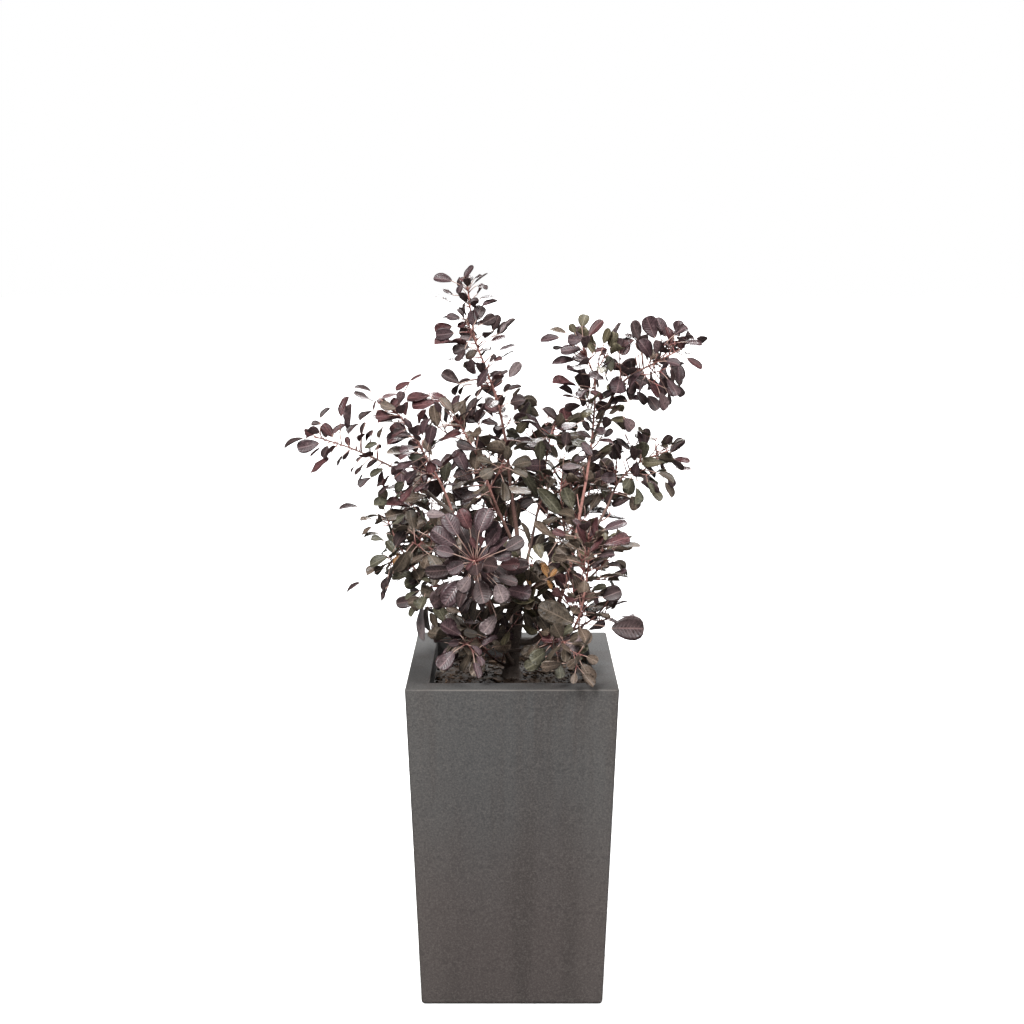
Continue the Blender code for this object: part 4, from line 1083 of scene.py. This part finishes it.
# The openings that show the sky from the viewpoint: how far across and up each is, where its line of
# sight passes the trunk, and its radius, in millimetres.
VIEWPOINT = (0.0, -2.8, 1.4876)
OPENINGS = (
    (196, 1328, 18), (180, 1273, 14), (245, 1237, 18), (276, 1127, 27), (330, 1129, 31), (247, 1132, 18),
    (215, 956, 21), (199, 1109, 14), (264, 836, 33), (253, 771, 24), (42, 1273, 31), (35, 1206, 16),
    (-131, 1109, 18), (-134, 1074, 16), (4, 1043, 8), (6, 1013, 8), (6, 972, 12), (-146, 974, 16),
    (61, 912, 21), (57, 944, 16), (97, 1066, 14), (-356, 1177, 31), (-325, 1011, 16), (-328, 872, 23),
    (-305, 852, 18), (-222, 710, 27), (-267, 972, 12), (-198, 1031, 10), (216, 856, 14), (229, 805, 16),
    (210, 748, 14), (-282, 874, 12), (43, 1060, 10), (-139, 1129, 12), (60, 1173, 16), (27, 1066, 12),
    (108, 1163, 12), (-264, 902, 10), (299, 1107, 10), (-309, 1035, 18), (-271, 1096, 16), (65, 1163, 23),
    (10, 1066, 14), (39, 1109, 16), (213, 1047, 16), (206, 995, 12), (176, 936, 14), (202, 850, 14),
    (-86, 1221, 12), (267, 1277, 12), (231, 1250, 18), (354, 1267, 12), (341, 1229, 14), (98, 1162, 12),
    (0, 1142, 12), (-46, 1076, 12), (4, 1031, 10), (6, 1003, 10), (27, 942, 12), (64, 948, 14),
    (41, 898, 10), (222, 1088, 12), (-169, 1015, 12), (-262, 918, 10), (88, 1167, 10), (-96, 1215, 10),
    (-77, 1175, 12), (297, 1322, 8), (280, 1011, 12), (253, 978, 10), (234, 1094, 10), (23, 1060, 12),
    (-8, 1119, 10), (-41, 1099, 10), (-229, 1015, 10), (49, 956, 12), (189, 850, 8), (-261, 974, 8),
    (353, 1294, 8), (42, 1150, 10), (-4, 1163, 8), (311, 1025, 8), (261, 980, 8),
)

# The leaf pieces, each with the shoots whose leaves it holds.
LEAF_GROUPS = {
    "leaves_top": ("tall", "centre_left", "centre_back"),
    "leaves_right_side": ("right", "right_arm", "right_low", "right_foot", "inner_right", "centre_right"),
    "leaves_left_side": ("left", "left_arm", "left_low", "inner_left"),
    "leaves_front_side": ("front", "front_right", "front_low", "front_foot", "centre_front"),
    "leaves_back_side": ("back", "back_left", "back_right"),
}


def distance_to(line, point):
    nearest = math.inf
    for a, b in zip(line, line[1:]):
        foot, share = intersect_point_line(point, a, b)
        foot = a if share < 0 else b if share > 1 else foot
        nearest = min(nearest, (point - foot).length)
    return nearest


def around(direction, angle):
    """A unit vector square to the direction, turned round it by the angle."""
    return Matrix.Rotation(angle, 3, direction) @ any_across(direction)


class Foliage:
    """Keeps what has been placed, so that each new leaf or twig is clear of it and in its own space."""

    def __init__(self, solids):
        self.stems = {name: lines[name][::4] + lines[name][-1:] for name in LIMBS}
        self.boxes = {name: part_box("leaves_" + name) for name in LIMBS}
        self.openings = [[size / 1000 for size in opening] for opening in OPENINGS]
        self.placed = [(None, 0, BVHTree.FromPolygons(*shape_of(solid))) for solid in solids]
        self.leaves = {name: [] for name in LIMBS}
        self.twigs = Tubes()
        self.stalks = Tubes()

    def is_within(self, name, point):
        low, high = self.boxes[name]
        margin = SPRAYS[name]["margin"]
        return all(a - margin < value < b + margin for a, value, b in zip(low, point, high))

    def is_open(self, point):
        """Whether the point would close one of the crown's openings."""
        eye = Vector(VIEWPOINT)
        seen = eye + (point - eye) * eye.y / (eye.y - point.y)
        return any(math.hypot(seen.x - x, seen.z - z) < radius for x, z, radius in self.openings)

    def keeps_space(self, name, point):
        """Whether the point is nearer its own stem than the others, give or take a little."""
        own = distance_to(self.stems[name], point)
        return all(own <= 1.4 * distance_to(line, point) + 0.02 for line in self.stems.values())

    def is_clear(self, tree, centre, reach):
        for middle, radius, other in self.placed:
            if middle is not None and (middle - centre).length > radius + reach:
                continue
            if tree.overlap(other):
                return False
        return True


def leaf_proxy(stalk_start, stalk_end, blade, side):
    """A few triangles that stand for a leaf while it is being placed."""
    near, far = stalk_end + blade * 0.3, stalk_end + blade * 0.75
    corners = [
        stalk_start, stalk_end, near + side * 0.8, far + side * 0.9,
        stalk_end + blade, far - side * 0.9, near - side * 0.8]
    return BVHTree.FromPolygons(corners, [(0, 1, 2), (1, 2, 6), (2, 3, 5), (2, 5, 6), (3, 4, 5)])


class Shoot:
    """One shoot, which grows its leaves and twigs into the foliage, by random draws of its own."""

    def __init__(self, foliage, name, seed):
        self.foliage = foliage
        self.name = name
        self.spray = SPRAYS[name]
        self.draw = random.Random(seed)

    def keep_leaf(self, at, direction, stalk_end, blade, normal, width, tree, tint):
        """Keeps a leaf, and makes its stalk, which bows a little on its way from the twig to the blade."""
        length, reach = blade.length, blade.length / 2 + (stalk_end - at).length
        self.foliage.placed.append((stalk_end + blade / 2, reach, tree))
        form = self.draw.randrange(len(BLADE_FORMS))
        leaf = (stalk_end, blade.normalized(), normal, length, width, form, tint)
        self.foliage.leaves[self.name].append(leaf)
        bow = at.lerp(stalk_end, 0.55) + direction * 0.10 * (stalk_end - at).length
        line = [at.lerp(bow, t).lerp(bow.lerp(stalk_end, t), t) for t in STALK_STEPS]
        line.append(stalk_end + blade * 0.10)
        radii = STALK_RADIUS * np.array(STALK_WIDTHS)[:, None]
        self.foliage.stalks.add(np.array(line), radii, STALK_SIDES, np.array(STALK_AGES))

    def grow_known_leaves(self):
        """The shoot's known leaves, each on a stalk from a little below the nearest place on the shoot."""
        points, _ = evenly_spaced(lines[self.name], RING_SPACING)
        for *sizes, angle, seen, tint in KNOWN_LEAVES.get(self.name, ()):
            x, z, y, length = (size / 1000 for size in sizes)
            start, angle, seen = Vector((x, y, z)), math.radians(angle), seen / 100
            nearest = int(np.argmin(np.linalg.norm(points - np.array(start), axis=1)))
            nearest = max(nearest - round(KNOWN_STALK_BACK / RING_SPACING), 1)
            at = Vector(points[nearest])
            after = points[min(nearest + 1, len(points) - 1)]
            direction = Vector(after - points[nearest - 1]).normalized()
            aside = self.draw.uniform(-STRAY, STRAY)
            along = Vector((math.cos(angle), aside, math.sin(angle))).normalized()
            upward = Vector((-along.z, 0, along.x)) * (1 if along.x > 0 else -1)
            faced = min(seen / KNOWN_WIDTH, MOST_FACED)
            normal = Vector((0, -faced, 0)) + upward * math.sqrt(1 - faced**2)
            normal = (normal - along * along.dot(normal)).normalized()
            width = length * max(seen, KNOWN_WIDTH)
            side = along.cross(normal) * width / 2
            tree = leaf_proxy(at.lerp(start, 0.2), start, along * length, side)
            self.keep_leaf(at, direction, start, along * length, normal, width, tree, tint)

    def grow_leaf(self, at, direction, turn, opening, size, clear_of, tint):
        """Tries a leaf at this place on its twig, and keeps it where it is clear and in its own space."""
        name, spray, foliage, draw = self.name, self.spray, self.foliage, self.draw
        outward = around(direction, turn)
        outward.x *= spray["across"]
        outward = (outward - direction * direction.dot(outward)).normalized()
        for attempt in range(ATTEMPTS):
            spread = opening + draw.uniform(-SPREAD_CHANCE, SPREAD_CHANCE)
            spread += SPREAD_STEP * attempt * draw.choice((-1, 1))
            stalk = direction * math.cos(spread) + outward * math.sin(spread)
            stalk_length = spray["stalk"] * size * draw.uniform(*STALK_LENGTHS)
            blade_length = BLADE_LENGTH * size * draw.uniform(*BLADE_LENGTHS)
            sag = Vector((0, 0, -1)) * spray["sag"] * draw.uniform(*SAGS)
            blade = (stalk + sag + around(direction, draw.uniform(0, FULL_TURN)) * STRAY).normalized()
            upper = (direction + Vector((0, 0, 0.5))).normalized()
            normal = upper - blade * upper.dot(blade)
            if normal.length < 0.2:
                normal = outward - blade * outward.dot(blade)
            roll = draw.uniform(-1, 1)
            roll *= spray["roll"] if draw.random() < USUAL_ROLL_SHARE else LOOSE_ROLL
            normal = Matrix.Rotation(roll, 3, blade) @ normal.normalized()
            stalk_end = at + stalk * stalk_length
            width = blade_length * BLADE_WIDTH * draw.uniform(*BLADE_WIDTHS)
            side = blade.cross(normal) * width / 2
            centre = stalk_end + blade * blade_length * 0.5
            tip = stalk_end + blade * blade_length
            if min(stalk_end.z, tip.z) < POT_HEIGHT + RIM_CLEARANCE:
                continue
            if not foliage.is_within(name, tip) or not foliage.keeps_space(name, centre):
                continue
            if foliage.is_open(centre) or foliage.is_open(tip):
                continue
            blade = blade * blade_length
            tree = leaf_proxy(at + stalk * clear_of, stalk_end, blade, side)
            if foliage.is_clear(tree, centre, blade_length * 0.5 + stalk_length):
                self.keep_leaf(at, direction, stalk_end, blade, normal, width, tree, tint)
                return

    def leaf_row(self, line, count, first, size, clear_of, tint):
        """Leaves in a spiral along a stem or twig, closer and smaller towards its tip, and one at its end."""
        turn = self.draw.uniform(0, 2 * math.pi)
        foot_lean, tip_lean = self.spray["lean"]
        for index in range(count):
            share = (index + 0.5) / count
            at, direction = place_on(line, first + (ROW_END - first) * share**0.85)
            opening = math.radians(foot_lean + (tip_lean - foot_lean) * share**2)
            scale = size * (1.06 - self.spray["taper"] * share**2)
            own = tint if self.draw.random() < TINT_KEPT else self.draw.choice(self.spray["tints"])
            self.grow_leaf(at, direction, turn, opening, scale, clear_of, own)
            turn += GOLDEN_ANGLE
        at, direction = place_on(line, LAST_LEAF_AT)
        self.grow_leaf(at, direction, turn, LAST_LEAF_LEAN, size * LAST_LEAF_SIZE, clear_of, tint)

    def grow_twig(self, line, share, turn, length, radius, rise=USUAL_SPRAY["rise"]):
        """A twig that leaves the line, curving upwards. Returns its own line, or None without room."""
        at, direction = place_on(line, share)
        heading = (direction * 0.75 + around(direction, turn) + Vector((0, 0, rise))).normalized()
        bend = at + heading * length * 0.5
        tip = bend + (heading + Vector((0, 0, rise + 0.1))).normalized() * length * 0.5
        if not self.foliage.keeps_space(self.name, tip):
            return None
        twig = smooth_path([at, bend, tip], steps=4)
        tree = BVHTree.FromPolygons([twig[1], bend, tip], [(0, 1, 2)])
        if not self.foliage.is_clear(tree, bend, length / 2):
            return None
        points, lengths = evenly_spaced(twig, TWIG_RING_SPACING)
        radii = radius + (TWIG_TIP_RADIUS - radius) * lengths / lengths[-1]
        radii = bark_relief(points, lengths, radii, TWIG_SIDES, self.draw)
        self.foliage.twigs.add(points, radii, TWIG_SIDES, TWIG_AGE)
        self.foliage.placed.append((bend, length / 2, tree))
        return twig

    def grow_mass(self):
        """The shoot's twigs and leaves: twigs off its stem, small ones off those, and leaves on all."""
        limb, spray, draw, whole = LIMBS[self.name], self.spray, self.draw, lines[self.name]
        marks = lengths_along(whole)
        bare, size, smaller = limb["bare"], spray["size"], spray["size"] * SMALLER
        at_foot, _ = place_on(whole, bare)
        stem = [at_foot, *[p for p, mark in zip(whole, marks) if mark > bare * marks[-1] + RING_SPACING]]
        stem_radius = radius_at(limb, bare)
        turn = draw.uniform(0, 2 * math.pi)
        for index in range(spray["twigs"]):
            share = 0.08 + 0.72 * (index + 0.5) / spray["twigs"]
            turn += GOLDEN_ANGLE
            length = spray["reach"] * draw.uniform(*TWIG_LENGTHS)
            radius = THINNER * (stem_radius + (LIMB_TIP_RADIUS - stem_radius) * share)
            twig = self.grow_twig(stem, share, turn, length, radius)
            if twig is None:
                continue
            tint = draw.choice(spray["tints"])
            self.leaf_row(twig, spray["each"], FIRST_ON_TWIG, size, TWIG_CLEARANCE, tint)
            for branch in range(SMALL_TWIGS):
                share, side = 0.35 + 0.25 * branch, draw.uniform(0, FULL_TURN)
                small = self.grow_twig(twig, share, side, length * SHORTER, radius * THINNER)
                if small:
                    self.leaf_row(
                        small, SMALL_TWIG_LEAVES, FIRST_ON_SMALL_TWIG, smaller, TWIG_CLEARANCE, tint)
        for index in range(spray["spurs"]):
            share = bare * (0.35 + 0.65 * (index + 0.5) / spray["spurs"])
            turn += GOLDEN_ANGLE
            length = spray["spur_length"] * draw.uniform(*SPUR_LENGTHS)
            spur = self.grow_twig(whole, share, turn, length, SPUR_RADIUS, spray["rise"])
            if spur:
                tint = draw.choice(spray["tints"])
                self.leaf_row(spur, SPUR_LEAVES, FIRST_ON_TWIG, smaller, TWIG_CLEARANCE, tint)
        clear_of, tint = stem_radius + STEM_CLEARANCE, spray["tints"][0]
        self.leaf_row(stem, spray["leaves"], FIRST_ON_STEM, size, clear_of, tint)


def blade_shape(fold, arch, wave, twist):
    """One leaf blade a unit long and a unit wide, with its base at the origin, as points, faces, the
    place of each face's corners across and along the blade, and which faces are its underside."""
    bpy.ops.mesh.primitive_uv_sphere_add(
        segments=LEAF_SEGMENTS, ring_count=LEAF_RINGS, radius=0.5, rotation=(math.pi / 2, 0, 0))
    blade = bpy.context.object
    bpy.ops.object.transform_apply(location=True, rotation=True, scale=True)
    ball, faces = shape_of(blade)
    bpy.data.objects.remove(blade)
    points, places = [], []
    for x, y, z in ball:
        ring = max(math.hypot(x, z), 1e-9)
        along, across, up = y + 0.5, x / ring, z / ring
        if ring < 1e-6:
            across, up = 0.0, 0.0
        half_width = max(along, 0.0) ** BASE_NARROWS * max(1 - along, 0.0) ** TIP_NARROWS
        half_width = 0.5 * half_width / WIDEST
        thickness = BLADE_THICKNESS * (0.5 + half_width)
        if up < 0 and abs(across) < 0.1:
            thickness *= MIDRIB_THICKER
        height = thickness * up + fold * half_width * abs(across) ** 1.4
        height += arch * along**2 + wave * math.sin(WAVES * along + 1.3 * across) * abs(across)
        turned = twist * (along - 0.4) * across * half_width
        points.append((across * half_width, along, height + turned))
        places.append((0.5 + 0.5 * across, along))
    under = [sum(ball[corner].z for corner in face) < 0 for face in faces]
    return dict(points=np.array(points), faces=faces, places=np.array(places), under=np.array(under))


def blade_finish(name, blade, vein, roughness, specular):
    """A leaf surface: fine side veins that lean towards the tip, a midrib, and tissue puckered between."""
    finish = Finish(name, roughness, specular)
    place = finish.add("ShaderNodeUVMap", {}, "UV", uv_map="Blade")
    parts = finish.split(place)
    across = finish.maths("ABSOLUTE", finish.maths("SUBTRACT", parts["X"], 0.5))
    across = finish.maths("MULTIPLY", across, 2.0)
    midrib = finish.fall(across, 0.03, 0.11)
    climb = finish.maths("MULTIPLY", parts["Y"], SIDE_VEINS)
    climb = finish.maths("SUBTRACT", climb, finish.maths("MULTIPLY", across, VEIN_LEAN))
    between = finish.maths("PINGPONG", climb, 0.5)
    fading = finish.maths("SUBTRACT", 0.75, across, clamp=True)
    side_veins = finish.maths("MULTIPLY", finish.fall(between, 0.02, 0.13), fading)
    veins = finish.maths("MAXIMUM", midrib, finish.maths("MULTIPLY", side_veins, 1.1), clamp=True)
    mottle = finish.noise(finish.stretched(place, (5, 8, 1)), 1.0)
    dark, light = (tuple(share * value for value in blade) for share in (0.40, 1.2))
    colour = finish.mix(finish.ramp(mottle, 0.35, 0.65), dark, light)
    # Two layers of pale specks in the vein colour: partly the leaf's own mottling and waxy bloom, and partly
    # painted glints of sheen.
    for stretch, low, high, strength in (((30, 44, 1), 0.50, 0.60, 0.35), ((16, 24, 1), 0.55, 0.70, 0.30)):
        pale_specks_and_glints = finish.ramp(finish.noise(finish.stretched(place, stretch), 1.0), low, high)
        colour = finish.over(colour, pale_specks_and_glints, strength, vein)
    colour = finish.over(colour, veins, 0.85, vein)
    colour = finish.over(colour, finish.ramp(across, 0.90, 1.0), 0.5, tuple(0.8 * value for value in vein))
    pucker = finish.maths("MULTIPLY", between, 1.2)
    pucker = finish.maths("ADD", pucker, finish.maths("MULTIPLY", veins, -0.6))
    gloss = finish.add("ShaderNodeMapRange", {
        "Value": mottle, "From Min": 0.35, "From Max": 0.65,
        "To Min": roughness - 0.10, "To Max": roughness + 0.15})
    return finish.coat(colour, gloss, pucker, depth=0.0006, strength=0.6)


def leaf_stalk():
    """Red where it leaves the twig and paler towards the blade."""
    finish = Finish("Leaf stalk", roughness=0.5)
    age = finish.add("ShaderNodeAttribute", {}, "Fac", attribute_name="age")
    age = finish.maths("ADD", age, finish.noise(finish.place(), 40))
    return finish.coat(finish.mix(finish.ramp(age, 0.4, 1.4), STALK_RED, STALK_PALE))


def joined_leaves(name, leaves, shapes, materials):
    """All the leaves of some shoots as one mesh. Each keeps two maps: its own, across and along the
    blade, and one that gives every tint, upper side and underside, a tile of the whole picture."""
    points, faces, slots, own_map, tiles = [], [], [], [], []
    columns = math.ceil(math.sqrt(2 * len(TINTS)))
    first = 0
    for base, blade, normal, length, width, form, tint in leaves:
        shape = shapes[form]
        turn = np.array([blade.cross(normal) * width, blade * length, normal * length])
        points.append(shape["points"] @ turn + np.array(base))
        faces += [tuple(corner + first for corner in face) for face in shape["faces"]]
        first += len(shape["points"])
        slot = 2 * TINT_NAMES.index(tint) + shape["under"]
        slots.append(slot)
        slot = np.repeat(slot, [len(face) for face in shape["faces"]])
        corners = np.concatenate([shape["places"][list(face)] for face in shape["faces"]])
        own_map.append(corners)
        tile = np.stack([slot % columns, slot // columns], axis=1)
        tiles.append((tile + TILE_EDGE + (1 - 2 * TILE_EDGE) * corners) / columns)
    obj = joined(name, points, faces, materials)
    mesh = obj.data
    mesh.polygons.foreach_set("material_index", np.concatenate(slots).astype(np.int32))
    for map_name, places in (("Blade", own_map), ("OFBake", tiles)):
        layer = mesh.uv_layers.new(name=map_name)
        layer.uv.foreach_set("vector", np.concatenate(places).astype(np.float32).ravel())
    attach(obj, "root")
    return obj


foliage = Foliage([planter, soil, bark_piece])
for name in LIMBS:
    Shoot(foliage, name, SEED + len(name)).grow_known_leaves()
for index, name in enumerate(LIMBS):
    Shoot(foliage, name, SEED + 100 * index).grow_mass()
foliage.twigs.to_object("twigs", wood)
foliage.stalks.to_object("leaf_stalks", leaf_stalk())

shapes = [blade_shape(**form) for form in BLADE_FORMS]
materials = []
for name, tint in TINTS.items():
    materials.append(
        blade_finish("Blade " + name, tint["blade"], tint["vein"], UPPER_ROUGHNESS, UPPER_SPECULAR))
    materials.append(
        blade_finish("Underside " + name, tint["under"], tint["vein"], UNDER_ROUGHNESS, UNDER_SPECULAR))
for group, shoots in LEAF_GROUPS.items():
    leaves = [leaf for shoot in shoots for leaf in foliage.leaves[shoot]]
    piece = joined_leaves(group, leaves, shapes, materials)
    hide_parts(*["leaves_" + shoot for shoot in shoots])


# Floor, light and camera
# A plain pale floor and soft studio light, seen from where the photographer stood: a little above the
# crown, looking slightly down.
FLOOR_SIDE = 60.0
CAMERA_PITCH = math.radians(79.09)
CAMERA_LENS = 51.35
PAPER_GREY = (0.90, 0.90, 0.90)
PAPER_WHITE = (0.93, 0.93, 0.93)
BOUNCE_GREY = (0.12, 0.12, 0.12)
AMBIENT = 0.13
LIGHT_ANGLE = math.radians(22)

# Where each soft light stands, seen from the shrub, and its strength.
LIGHTS = {
    "Key light": ((-1.3, -2.7, 2.9), 5.5),
    "Fill light": ((2.6, -1.5, 2.4), 2.9),
    "Back light": ((0.3, 2.6, 2.1), 4.8),
}

bpy.ops.mesh.primitive_plane_add(size=FLOOR_SIDE)
floor = bpy.context.object
floor.name = "floor"
paper = Finish("Pale paper", roughness=0.9)
grain = paper.noise(paper.place(), 90)
ray = paper.add("ShaderNodeLightPath", {}, "Is Camera Ray")
pale = paper.mix(grain, PAPER_GREY, PAPER_WHITE)
floor.data.materials.append(paper.coat(paper.mix(ray, BOUNCE_GREY, pale)))

world = bpy.data.worlds.new("Studio")
bpy.context.scene.world = world
world.use_nodes = True
sky = world.node_tree
seen = sky.nodes.new("ShaderNodeLightPath")
strength = sky.nodes.new("ShaderNodeMapRange")
strength.inputs["To Min"].default_value = AMBIENT
sky.links.new(seen.outputs["Is Camera Ray"], strength.inputs["Value"])
sky.links.new(strength.outputs["Result"], sky.nodes["Background"].inputs["Strength"])
sky.nodes["Background"].inputs["Color"].default_value = (1.0, 1.0, 1.0, 1.0)

for name, (place, strength) in LIGHTS.items():
    bpy.ops.object.light_add(type="SUN", location=place)
    light = bpy.context.object
    light.name = name
    light.data.energy = strength
    light.data.angle = LIGHT_ANGLE
    light.rotation_euler = Vector(place).to_track_quat("Z", "Y").to_euler()

bpy.ops.object.camera_add(location=VIEWPOINT, rotation=(CAMERA_PITCH, 0, 0))
camera = bpy.context.object
camera.data.lens = CAMERA_LENS
bpy.context.scene.camera = camera
bpy.context.scene.view_settings.view_transform = "Standard"
